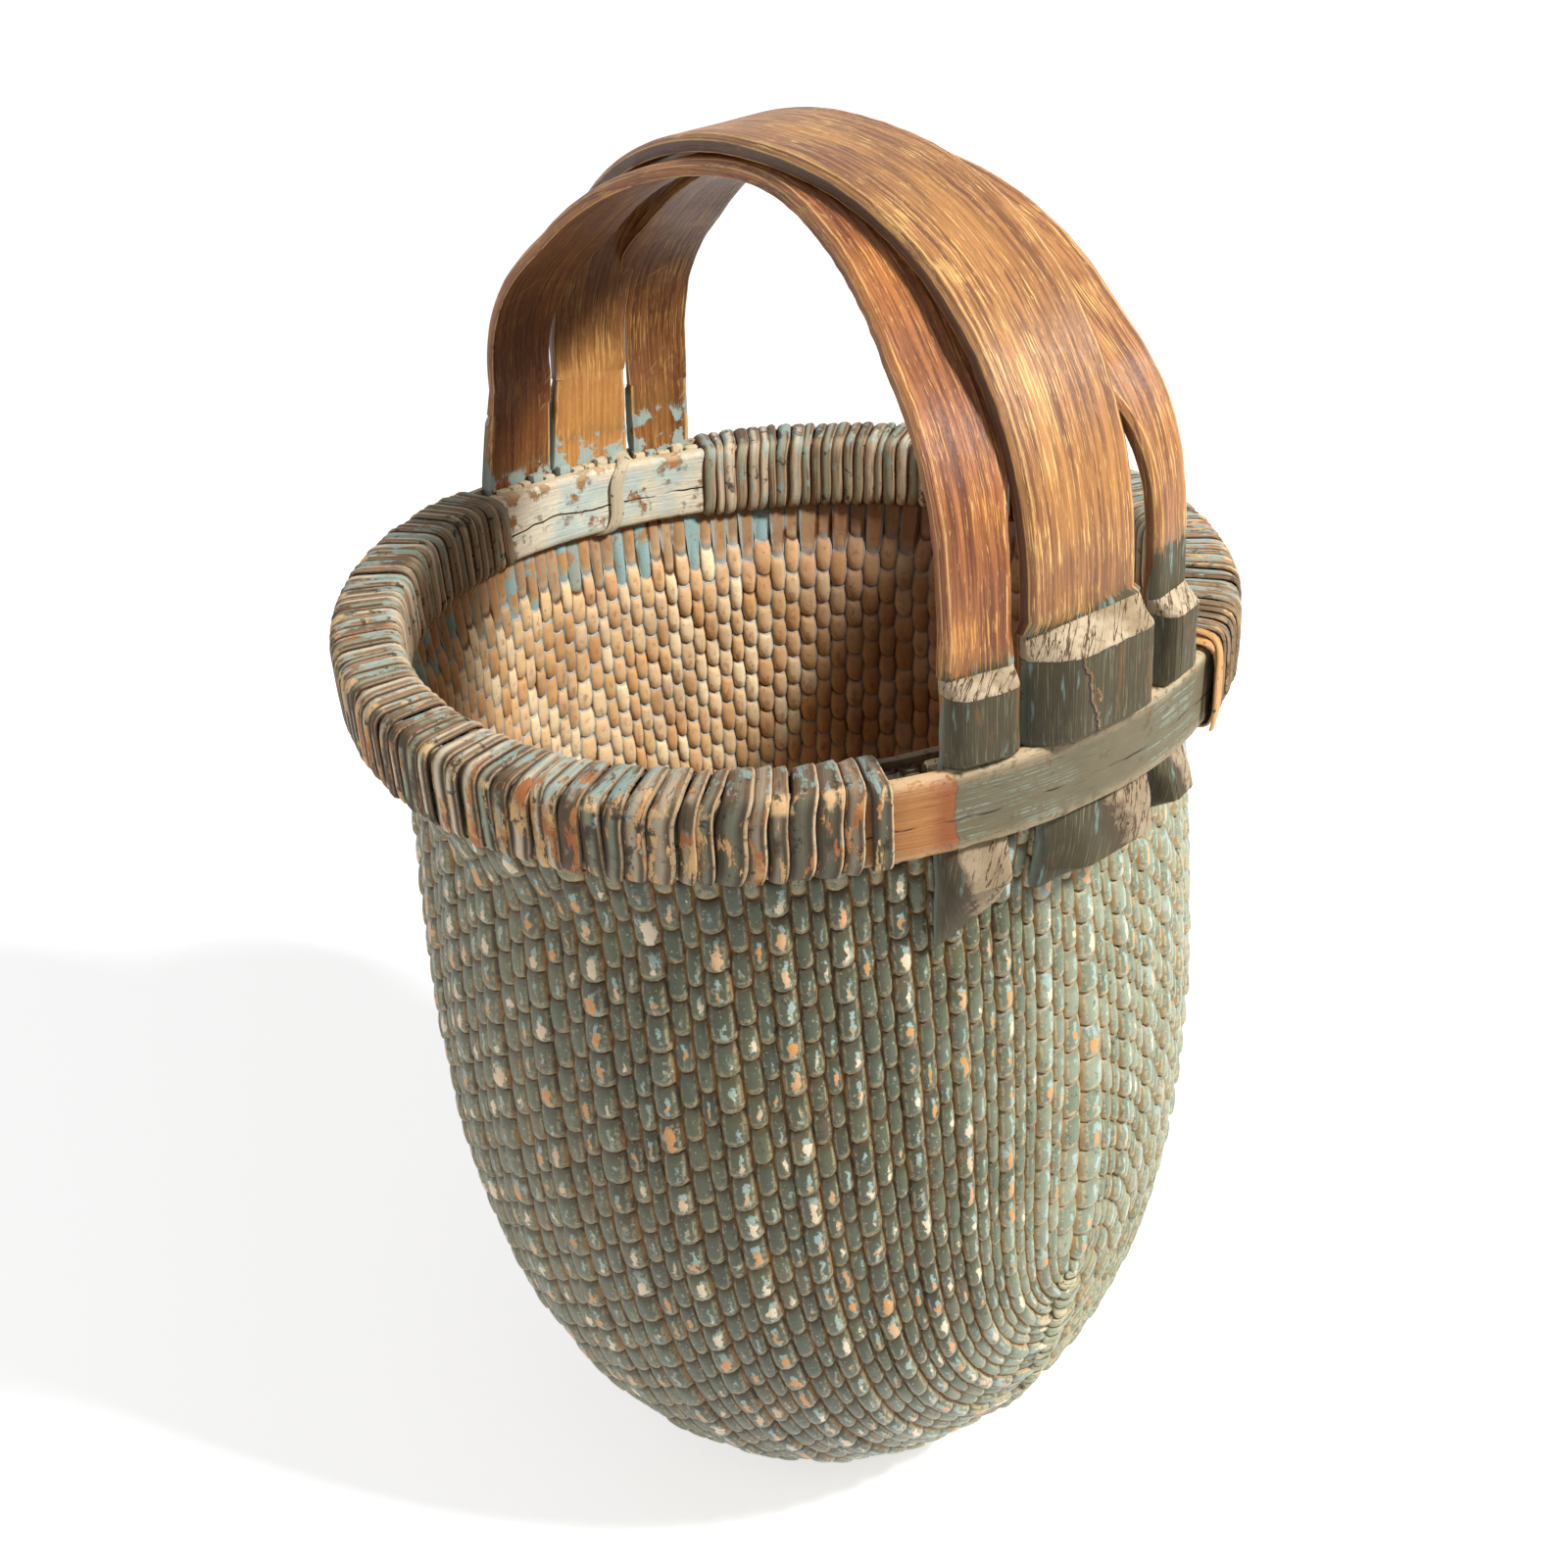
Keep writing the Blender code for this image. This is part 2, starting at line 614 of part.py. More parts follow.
def cut_slots(body):
    """Cuts the row of slots that the bindings pass through."""
    points, faces = [], []
    sides = ((0, 1, 2, 3), (7, 6, 5, 4), (4, 5, 1, 0), (5, 6, 2, 1), (6, 7, 3, 2), (7, 4, 0, 3))
    for span_deg in (FRONT_BINDING_DEG, BACK_BINDING_DEG):
        start, pitch, _, lap = binding_steps(span_deg)
        for turn in range(1, BINDING_TURNS):
            base = len(points)
            middle = start + pitch * (CANE_COVER_SHARE / 2 + turn - (1 - lap) / 2)
            points += slot_box(middle, pitch * (1 - lap)).tolist()
            faces += [tuple(base + corner for corner in side) for side in sides]
    cutter = mesh_object("slot_cutter", points, faces)
    cutter.hide_render = True
    cutter.display_type = "WIRE"
    cut = body.modifiers.new("binding_slots", "BOOLEAN")
    cut.operation = "DIFFERENCE"
    cut.solver = "EXACT"
    cut.object = cutter


def build_tie(material):
    """The single cane tie that clips over the bare inner hoop, from the wall's top to its face."""
    half = HOOP_HEIGHT / 2 + BENT_GAP + CANE_THICKNESS / 2
    far = PACK_WIDTH / 2 + BENT_GAP + CANE_THICKNESS / 2
    path = [
        (INNER_HOOP_OUT + WALL_THICKNESS / 2, half, 0, 1, 1.0),
        (INNER_HOOP_OUT - HOOP_CHAMFER / 2, half, 0, 1, 1.0),
    ]
    path += corner_arc(-1, 1, 90, 180)
    path += [(-far, 0.0, -1, 0, 1.0)]
    path += corner_arc(-1, -1, 180, 270)
    path += [(INNER_HOOP_OUT - HOOP_CHAMFER / 2, -half, 0, -1, 1.0), (WALL_IN - BENT_GAP, -half, 0, -1, 1.0)]
    path = np.array(path)
    start, end = (math.radians(value) for value in TIE_DEG)
    half_angle = TIE_WIDTH / 2 / RIM_RADIUS
    return loft("hoop_tie", cane_rings(path, np.linspace(start, end, len(path)), half_angle), material)


def place_angle(side, place):
    """Plan angle of a place along the rim, measured from the X axis toward +Y at either end."""
    turned = place / RIM_RADIUS
    return np.where(side > 0, turned, math.pi - turned)


def foot_stations(strip):
    """Stations of a notched end from its top down, as (rise, depth, edge depth, chamfered, slant)."""
    half = HOOP_HEIGHT / 2
    body = strip.thickness
    edge = body * EDGE_DEPTH_SHARE
    notch_top = half + BENT_GAP
    notch_bottom = -half - BENT_GAP
    stations = [
        (strip.block_back_rise, body, edge, False, 0.0),
        (strip.block_front_rise, strip.block_depth, body, True, 0.0),
        (notch_top + HEEL_RISE / 2, strip.block_depth, body, True, 0.0),
        (notch_top, strip.block_depth - HEEL_RISE / 2, body, True, 0.0),
        (notch_top, NOTCH_THICKNESS, NOTCH_THICKNESS, False, 0.0),
        (0.0, NOTCH_THICKNESS, NOTCH_THICKNESS, False, 0.0),
        (notch_bottom, NOTCH_THICKNESS, NOTCH_THICKNESS, False, 0.0),
    ]
    for share in np.linspace(0, 1, LOWER_ROWS):
        rise = notch_bottom - (strip.lower_drop + notch_bottom) * share
        depth = body + (strip.lower_depth - body) * share
        stations.append((rise, depth, edge + (body - edge) * share, True, 0.0))
    for share in np.linspace(0, 1, TIP_ROWS)[1:]:
        rise = -strip.lower_drop - (strip.tip_drop - strip.lower_drop) * share
        depth = strip.lower_depth + (strip.tip_thickness - strip.lower_depth) * share
        tip_edge = body + (strip.tip_thickness - body) * share
        stations.append((rise, depth, tip_edge, True, strip.tip_slant * share))
    return stations


def across_shares(width, near_chamfer, far_chamfer):
    """Places across a strip, near edge to far: four on its inner face, then four on its outer."""
    inner = width * np.array([-3, -1, 1, 3]) / 6
    outer = np.array([width / 2, width / 2 - far_chamfer, near_chamfer - width / 2, -width / 2])
    return np.concatenate([inner, outer])


def foot_ring(strip, side, station):
    """The eight points of one station of an end, bent to the rim's curve."""
    rise, depth, edge_depth, chamfered, slant = station
    end = strip.right if side > 0 else strip.left
    notch = HOOP_HEIGHT / 2 + BENT_GAP
    leaned = np.clip((ARCH_BASE - rise) / (ARCH_BASE - notch), 0, 1)
    tipped = np.clip((notch - rise) / (2 * notch), 0, 1)
    place = end.arch_place + (end.rim_place - end.arch_place) * leaned
    place += (end.tip_place - end.rim_place) * tipped
    width = end.arch_width + (end.rim_width - end.arch_width) * leaned
    near, far = (end.near_chamfer, end.far_chamfer) if chamfered else (EDGE_ROUND, EDGE_ROUND)
    across = across_shares(width, near, far)
    angle = place_angle(side, place)
    angles = angle + side * across / rim_radius(angle)
    heights = rim_level(angles) + rise + slant * across / width
    depths = np.array([0, 0, 0, 0, edge_depth, depth, depth, edge_depth])
    inner = np.minimum(rim_radius(angles) + STRIP_IN, wall_radius(angles, heights) + HEEL_GAP)
    radius = inner + depths
    return np.stack([radius * np.cos(angles), radius * np.sin(angles), heights], axis=-1)


def spread_share(along, blend):
    """How far a strip has spread from the crown to its foot, straight but for a soft start."""
    return (np.hypot(along, blend) - blend) / (math.hypot(1, blend) - blend)


def arch_line(strip, turns):
    """Middle of the inner face along the arch, from the right end to the left, and its spread.

    x and z follow half superellipses from the crown to each end, and y moves
    from the crown's place to the foot's with the spread.
    """
    size = np.abs(np.cos(turns))
    right = np.cos(turns) > 0
    power = np.where(right, ARCH_POWER_RIGHT, ARCH_POWER_LEFT)
    angle = place_angle(np.cos(turns), np.where(right, strip.right.arch_place, strip.left.arch_place))
    reach = rim_radius(angle) + STRIP_IN
    along = size ** (2 / power)
    spread = spread_share(along, strip.crown_blend)
    base = rim_level(angle) + ARCH_BASE
    crown = RIM_HEIGHT + CROWN_RISE - MIDDLE_THICKNESS
    across = CROWN_ACROSS + strip.crown_offset
    x = CROWN_ALONG + (reach * np.cos(angle) - CROWN_ALONG) * along
    y = across + (reach * np.sin(angle) - across) * spread
    z = base + (crown - base) * np.sin(turns) ** (2 / power)
    return np.stack([x, y, z], axis=-1), spread


def unit(vectors):
    """Vectors brought to length one."""
    return vectors / np.linalg.norm(vectors, axis=-1, keepdims=True)


def arch_rings(strip):
    """Rings along the arch: the strip is cupped like the rim at its ends and flat at the crown."""
    turns = np.linspace(0, math.pi, ARCH_STEPS + 1)
    centres, spread = arch_line(strip, turns)
    travel = unit(np.gradient(centres, axis=0))
    travel[0], travel[-1] = (0, 0, 1), (0, 0, -1)
    side = np.sign(np.cos(turns))
    size = np.abs(np.cos(turns))
    angle = place_angle(side, np.where(side > 0, strip.right.arch_place, strip.left.arch_place))
    ends = np.stack([-np.sin(angle) * side, np.cos(angle) * side, np.zeros(len(turns))], axis=-1)
    crown = np.array([math.sin(CROWN_TURN), math.cos(CROWN_TURN), CROWN_TILT])
    wide = unit(crown + (ends - crown) * size[:, None] ** 2)
    wide = unit(wide - (wide * travel).sum(axis=1, keepdims=True) * travel)
    out = np.cross(wide, travel)
    under = 1 - smooth((size - DROP_START_SHARE) / DROP_RUN_SHARE)
    centres = centres - (strip.drop * under)[:, None] * out
    end_width = np.where(side > 0, strip.right.arch_width, strip.left.arch_width)
    widths = strip.crown_width + (end_width - strip.crown_width) * spread
    edge = strip.thickness * EDGE_DEPTH_SHARE
    depths = np.array([0, 0, 0, 0, edge, strip.thickness, strip.thickness, edge])
    rings = []
    for centre, width, share, w, n in zip(centres, widths, size, wide, out):
        across = across_shares(width, EDGE_ROUND, EDGE_ROUND)
        cup = across ** 2 / (2 * RIM_RADIUS) * share ** 2
        rings.append(centre + across[:, None] * w + (depths - cup)[:, None] * n)
    return rings


def build_strip(strip, material):
    """One handle strip, from the tip of its right end over the crown to the tip of its left."""
    stations = foot_stations(strip)
    right = [foot_ring(strip, 1, station) for station in reversed(stations)]
    left = [foot_ring(strip, -1, station) for station in stations]
    shape = loft(strip.name, right + arch_rings(strip) + left, material)
    shade_round(shape, math.radians(25))
    return shape


def clear_scene():
    """Removes whatever the scene holds."""
    for shape in list(bpy.data.objects):
        bpy.data.objects.remove(shape)


def main():
    """Builds every piece of the basket."""
    clear_scene()
    willow = make_material("painted_willow", (0.26, 0.33, 0.27), 0.75)
    cane = make_material("rim_cane", (0.42, 0.36, 0.29), 0.65)
    painted = make_material("painted_hoop", (0.29, 0.33, 0.24), 0.6)
    faded = make_material("faded_hoop", (0.55, 0.60, 0.55), 0.7)
    rods = make_material("padding_rods", (0.45, 0.30, 0.16), 0.8)
    wood = make_material("handle_wood", (0.42, 0.22, 0.09), 0.45)

    body = build_woven_body(willow)
    cut_slots(body)
    build_hoop("inner_hoop", hoop_section(INNER_HOOP_IN, INNER_HOOP_OUT, "inner"), faded)
    build_hoop("outer_hoop", hoop_section(OUTER_HOOP_IN, OUTER_HOOP_OUT, "outer"), painted)
    build_padding("rim_padding_front", FRONT_BINDING_DEG, rods)
    build_padding("rim_padding_back", BACK_BINDING_DEG, rods)
    build_binding("rim_binding_front", FRONT_BINDING_DEG, cane)
    build_binding("rim_binding_back", BACK_BINDING_DEG, cane)
    build_end_wrap(cane)
    build_tie(cane)
    for strip in STRIPS:
        build_strip(strip, wood)


main()
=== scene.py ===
"""Looks of the handled woven basket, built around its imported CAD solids.

A willow weave outside and inside, cane winding round the rim, two bent hoops,
three notched bentwood strips, and a plain studio with the camera of the photograph.
Lengths are in metres. The rim's middle circle and the body's profile repeat the
CAD part's own formulas, so that every piece sits where its solid is.
"""

import logging
import math
from dataclasses import dataclass, field
from enum import Enum
import bpy
import numpy as np
from mathutils import Matrix, Vector


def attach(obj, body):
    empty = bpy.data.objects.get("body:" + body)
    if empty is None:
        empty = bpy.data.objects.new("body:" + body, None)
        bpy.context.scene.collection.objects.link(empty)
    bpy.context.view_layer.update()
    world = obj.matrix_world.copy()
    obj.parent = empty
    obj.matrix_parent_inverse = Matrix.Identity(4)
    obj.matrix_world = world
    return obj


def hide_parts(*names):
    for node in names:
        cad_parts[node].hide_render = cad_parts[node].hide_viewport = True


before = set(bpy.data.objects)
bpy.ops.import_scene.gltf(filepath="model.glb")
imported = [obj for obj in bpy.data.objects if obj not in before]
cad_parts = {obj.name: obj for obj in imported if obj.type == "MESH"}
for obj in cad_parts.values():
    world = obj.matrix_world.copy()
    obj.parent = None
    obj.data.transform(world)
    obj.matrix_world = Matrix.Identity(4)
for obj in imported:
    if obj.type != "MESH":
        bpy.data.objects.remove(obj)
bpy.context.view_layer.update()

Array = np.ndarray
Material = bpy.types.Material
Shape = bpy.types.Object
Socket = bpy.types.NodeSocket
LOG = logging.getLogger("basket")
TAU = 2 * math.pi
SEED = 41


def srgb(red: int, green: int, blue: int) -> tuple[float, float, float, float]:
    """A colour written in 0 to 255 screen values, as linear light.

    Args:
        red, green, blue: screen values.

    Returns:
        Linear red, green, blue and an alpha of 1.
    """
    linear = []
    for value in (red, green, blue):
        share = value / 255
        linear.append(share / 12.92 if share <= 0.04045 else ((share + 0.055) / 1.055) ** 2.4)
    return (*linear, 1.0)


def smooth(value: Array) -> Array:
    """Smooth step from 0 to 1: 3t^2 - 2t^3 of the value held between 0 and 1."""
    share = np.clip(value, 0, 1)
    return share * share * (3 - 2 * share)


def unit(vectors: Array) -> Array:
    """Vectors brought to length one."""
    return vectors / np.maximum(np.linalg.norm(vectors, axis=-1, keepdims=True), 1e-12)


def ripple(points: Array, wavelength: float, seed: int) -> Array:
    """A slow, soft unevenness in space: the mean of five sine waves in drawn directions.

    Args:
        points: places, with x, y, z last.
        wavelength: mean length of a wave.
        seed: draw that sets directions and phases.

    Returns:
        Values from about -1 to 1, one for each place.
    """
    draw = np.random.default_rng(seed)
    directions = unit(draw.normal(size=(5, 3)))
    lengths = wavelength * draw.uniform(0.6, 1.6, 5)
    phases = draw.uniform(0, TAU, 5)
    waves = np.sin(np.asarray(points) @ (directions / lengths[:, None]).T * TAU + phases)
    return waves.sum(axis=-1) / 2.4


# Shapes shared with the CAD part


@dataclass(frozen=True)
class Rim:
    """The rim's middle circle and the layers that are clamped on it."""

    radius: float = 0.1667
    height: float = 0.4165
    waves: tuple = ((2, -0.014, -0.013), (3, 0.023, 0.027), (4, 0.0, 0.011))
    warp: float = 0.0072
    hoop_thickness: float = 0.0055
    hoop_height: float = 0.0314
    hoop_chamfer: float = 0.0028
    wall: float = 0.0060
    notch: float = 0.0047
    seat_gap: float = 0.0003
    bent_gap: float = 0.0005

    @property
    def pack(self) -> float:
        """Width of all layers together."""
        return 2 * self.hoop_thickness + self.wall + self.notch + self.seat_gap + 2 * self.bent_gap

    @property
    def wall_in(self) -> float:
        """Offset of the woven wall's inner face."""
        return self.hoop_thickness - self.pack / 2 + self.seat_gap

    @property
    def wall_out(self) -> float:
        """Offset of the woven wall's outer face."""
        return self.wall_in + self.wall

    @property
    def strip_in(self) -> float:
        """Offset of a handle strip's inner face."""
        return self.wall_out + self.bent_gap

    @property
    def strip_notch(self) -> float:
        """Offset of the floor of a handle strip's notch."""
        return self.strip_in + self.notch

    def radius_at(self, angle: Array) -> Array:
        """Middle radius: a circle with a few slow cosine and sine waves."""
        waves = sum(a * np.cos(k * angle) + b * np.sin(k * angle) for k, a, b in self.waves)
        return self.radius * (1 + waves)

    def level_at(self, angle: Array) -> Array:
        """Middle height: a level that dips and rises twice a turn."""
        return self.height + self.warp * np.sin(2 * angle)

    def around(self, angle: Array, offset: Array, rise: Array) -> Array:
        """Points beside the rim's middle circle.

        Args:
            angle: plan angles.
            offset: how far outside the middle circle.
            rise: how far above its level.

        Returns:
            The points.
        """
        angle, offset, rise = np.broadcast_arrays(angle, offset, rise)
        radius = self.radius_at(angle) + offset
        return np.stack([radius * np.cos(angle), radius * np.sin(angle), self.level_at(angle) + rise], -1)


@dataclass(frozen=True)
class SurfaceTable:
    """A surface as a table of points and normals over plan angle and share of the meridian."""

    points: Array
    normals: Array

    def sample(self, angle: Array, share: Array) -> tuple[Array, Array]:
        """Point and outward normal, blended from the four nearest entries of the table.

        Args:
            angle: plan angles in radians.
            share: 0 at the middle of the floor and 1 at the top of the wall.

        Returns:
            Points and unit normals.
        """
        turns, steps = self.points.shape[0] - 1, self.points.shape[1] - 1
        across = np.mod(angle, TAU) / TAU * turns
        along = np.clip(share, 0, 1) * steps
        a0 = np.clip(across.astype(int), 0, turns - 1)
        s0 = np.clip(along.astype(int), 0, steps - 1)
        fa, fs = (across - a0)[..., None], (along - s0)[..., None]

        def blend(table: Array) -> Array:
            """Two-way linear blend.

            Args:
                table: entries by angle and share.

            Returns:
                The blended entries.
            """
            low = table[a0, s0] * (1 - fa) + table[a0 + 1, s0] * fa
            high = table[a0, s0 + 1] * (1 - fa) + table[a0 + 1, s0 + 1] * fa
            return low * (1 - fs) + high * fs

        return blend(self.points), unit(blend(self.normals))


@dataclass(frozen=True)
class BodyShape:
    """Profile of the woven body: a rounded bucket that flares out to the rim."""

    rim: Rim
    top_half_length: float = 0.1551
    top_half_width: float = 0.1579
    low_half_length: float = 0.1932
    low_half_width: float = 0.1966
    lean: float = 0.0055
    fall_power: float = 3.0
    corner_power: float = 2.2
    foot_share: float = 0.26
    top_rise: float = 0.0155
    flare_start: float = 0.0200
    flare_length: float = 0.0400
    warp_fade: float = 0.1500

    def wall_radius(self, angle: Array, height: Array) -> Array:
        """Outer radius: a superellipse profile of oval plan, blended into the rim's own circle.

        Args:
            angle: plan angles.
            height: heights above the floor.

        Returns:
            Radii from the upright through the origin.
        """
        below = self.rim.level_at(angle) - height
        share = np.clip((self.rim.height - height) / self.rim.height, 0, 1)
        flare = smooth((below - self.flare_start) / self.flare_length)
        fall = (1 - self.foot_share ** self.corner_power) * share ** self.fall_power
        corner = np.clip(1 - fall, 0, 1) ** (1 / self.corner_power)
        length = self.top_half_length + (self.low_half_length - self.top_half_length) * share
        width = self.top_half_width + (self.low_half_width - self.top_half_width) * share
        belly = corner / np.hypot(np.cos(angle) / length, np.sin(angle) / width)
        belly = belly + self.lean * share * np.cos(angle)
        return (1 - flare) * (self.rim.radius_at(angle) + self.rim.wall_out) + flare * belly

    def table(self, turns: int = 360, steps: int = 260) -> SurfaceTable:
        """The outer surface from the middle of the floor to the top of the wall.

        Each meridian runs straight out over the flat foot and then up the wall;
        it is sampled at equal shares of its own length.

        Args:
            turns: steps round.
            steps: steps from the floor's middle to the top.

        Returns:
            The table.
        """
        angles = np.linspace(0, TAU, turns + 1)
        foot = np.linspace(0, 1, 12)[None, :-1] * self.wall_radius(angles, np.zeros(1))[:, None]
        shares = np.sin(np.linspace(math.pi / 2, 0, 200))
        above = self.rim.height + np.linspace(0, self.top_rise, 9)[1:]
        base = np.concatenate([self.rim.height * (1 - shares), above])
        fade = smooth(1 - (self.rim.height - base) / self.warp_fade)
        level = base + (self.rim.level_at(angles)[:, None] - self.rim.height) * fade
        radius = np.concatenate([foot, self.wall_radius(angles[:, None], level)], 1)
        height = np.concatenate([np.zeros_like(foot), level], 1)
        travel = np.hypot(np.diff(radius, axis=1), np.diff(height, axis=1))
        travel = np.concatenate([np.zeros((turns + 1, 1)), np.cumsum(travel, 1)], 1)
        even = np.linspace(0, 1, steps + 1)
        places = [np.interp(even * t[-1], t, np.arange(len(t))) for t in travel]
        index = np.array(places)
        low = np.clip(index.astype(int), 0, radius.shape[1] - 2)
        part = index - low
        rows = np.arange(turns + 1)[:, None]
        r = radius[rows, low] * (1 - part) + radius[rows, low + 1] * part
        z = height[rows, low] * (1 - part) + height[rows, low + 1] * part
        points = np.stack([r * np.cos(angles)[:, None], r * np.sin(angles)[:, None], z], -1)
        turned = np.stack([-np.sin(angles), np.cos(angles), np.zeros(turns + 1)], -1)[:, None, :]
        slope = (np.roll(points[:-1], -1, 0) - np.roll(points[:-1], 1, 0)) / 2
        slope = np.concatenate([slope, slope[:1]])
        slope = np.where(r[..., None] > 1e-3, slope, turned)
        normals = unit(np.cross(slope, np.gradient(points, axis=1)))
        normals[:, 0] = (0, 0, -1)
        return SurfaceTable(points, normals)


# Meshes


@dataclass
class Piece:
    """Arrays of one visible piece while it is put together."""

    name: str
    points: list = field(default_factory=list)
    faces: list = field(default_factory=list)
    marks: dict = field(default_factory=dict)
    count: int = 0

    def add(self, points: Array, faces: list[Array], **marks: Array) -> None:
        """Adds a patch.

        Args:
            points: places, with x, y, z last.
            faces: arrays of corner numbers, one row for each face.
            marks: one value for each point, kept as mesh attributes.
        """
        flat = np.asarray(points, float).reshape(-1, 3)
        self.faces += [np.asarray(group, int) + self.count for group in faces]
        self.points.append(flat)
        for key, value in marks.items():
            self.marks.setdefault(key, []).append(np.broadcast_to(value, points.shape[:-1]).reshape(-1))
        self.count += len(flat)

    def make(self, material: Material, slot: str, nodes: tuple[str, ...], sharp: float = 40.0) -> Shape:
        """Turns the arrays into a smooth-shaded object that rides on the frame.

        Args:
            material: the finish.
            slot: the record's material slot; not used.
            nodes: CAD nodes that the piece stands for.
            sharp: angle in degrees above which an edge stays crisp.

        Returns:
            The new object.
        """
        mesh = bpy.data.meshes.new(self.name)
        points = np.concatenate(self.points)
        corners = np.concatenate([group.reshape(-1) for group in self.faces])
        sizes = np.concatenate([np.full(len(group), group.shape[1]) for group in self.faces])
        starts = np.concatenate([[0], np.cumsum(sizes)[:-1]])
        mesh.vertices.add(len(points))
        mesh.vertices.foreach_set("co", points.reshape(-1).astype(np.float32))
        mesh.loops.add(len(corners))
        mesh.loops.foreach_set("vertex_index", corners.astype(np.int32))
        mesh.polygons.add(len(sizes))
        mesh.polygons.foreach_set("loop_start", starts.astype(np.int32))
        mesh.update(calc_edges=True)
        mesh.validate()
        for key, values in self.marks.items():
            layer = mesh.attributes.new(key, "FLOAT", "POINT")
            layer.data.foreach_set("value", np.concatenate(values).astype(np.float32))
        mesh.shade_smooth()
        mesh.set_sharp_from_angle(angle=math.radians(sharp))
        mesh.materials.append(material)
        shape = bpy.data.objects.new(self.name, mesh)
        bpy.context.scene.collection.objects.link(shape)
        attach(shape, "root")
        if nodes:
            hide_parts(*nodes)
        LOG.info("%s: %d points, %d faces", self.name, len(points), len(sizes))
        return shape


def grid_faces(rows: int, columns: int, closed_rows: bool = False, closed_columns: bool = False) -> Array:
    """Four-cornered faces of a grid of points.

    Args:
        rows, columns: size of the grid.
        closed_rows, closed_columns: whether it joins up with itself that way.

    Returns:
        Corner numbers, one row for each face.
    """
    index = np.arange(rows * columns).reshape(rows, columns)
    if closed_rows:
        index = np.concatenate([index, index[:1]], 0)
    if closed_columns:
        index = np.concatenate([index, index[:, :1]], 1)
    return np.stack([index[:-1, :-1], index[1:, :-1], index[1:, 1:], index[:-1, 1:]], -1).reshape(-1, 4)


def facing_out(points: Array, faces: list[Array]) -> list[Array]:
    """The faces, all turned round if the volume that they enclose comes out negative.

    Args:
        points: places of the corners.
        faces: arrays of corner numbers.

    Returns:
        The faces, pointing outwards.
    """
    flat = points.reshape(-1, 3)
    total = 0.0
    for group in faces:
        first = flat[group[:, 0]]
        for corner in range(1, group.shape[1] - 1):
            turned = np.cross(flat[group[:, corner]], flat[group[:, corner + 1]])
            total += np.einsum("ij,ij->i", first, turned).sum()
    return faces if total > 0 else [group[:, ::-1] for group in faces]


def tube_faces(rings: Array, closed: bool) -> list[Array]:
    """Faces of a tube through rings of points, capped at both ends or closed on itself.

    Args:
        rings: one ring of points for each step.
        closed: whether the last ring joins the first.

    Returns:
        Arrays of corner numbers, pointing outwards.
    """
    count, size = rings.shape[:2]
    faces = [grid_faces(count, size, closed_rows=closed, closed_columns=True)]
    if not closed:
        index = np.arange(count * size).reshape(count, size)
        faces += [index[:1], index[-1:, ::-1]]
    return facing_out(rings, faces)


# Weave


class Side(Enum):
    """The two faces of the woven wall."""

    OUTSIDE = 1
    INSIDE = -1


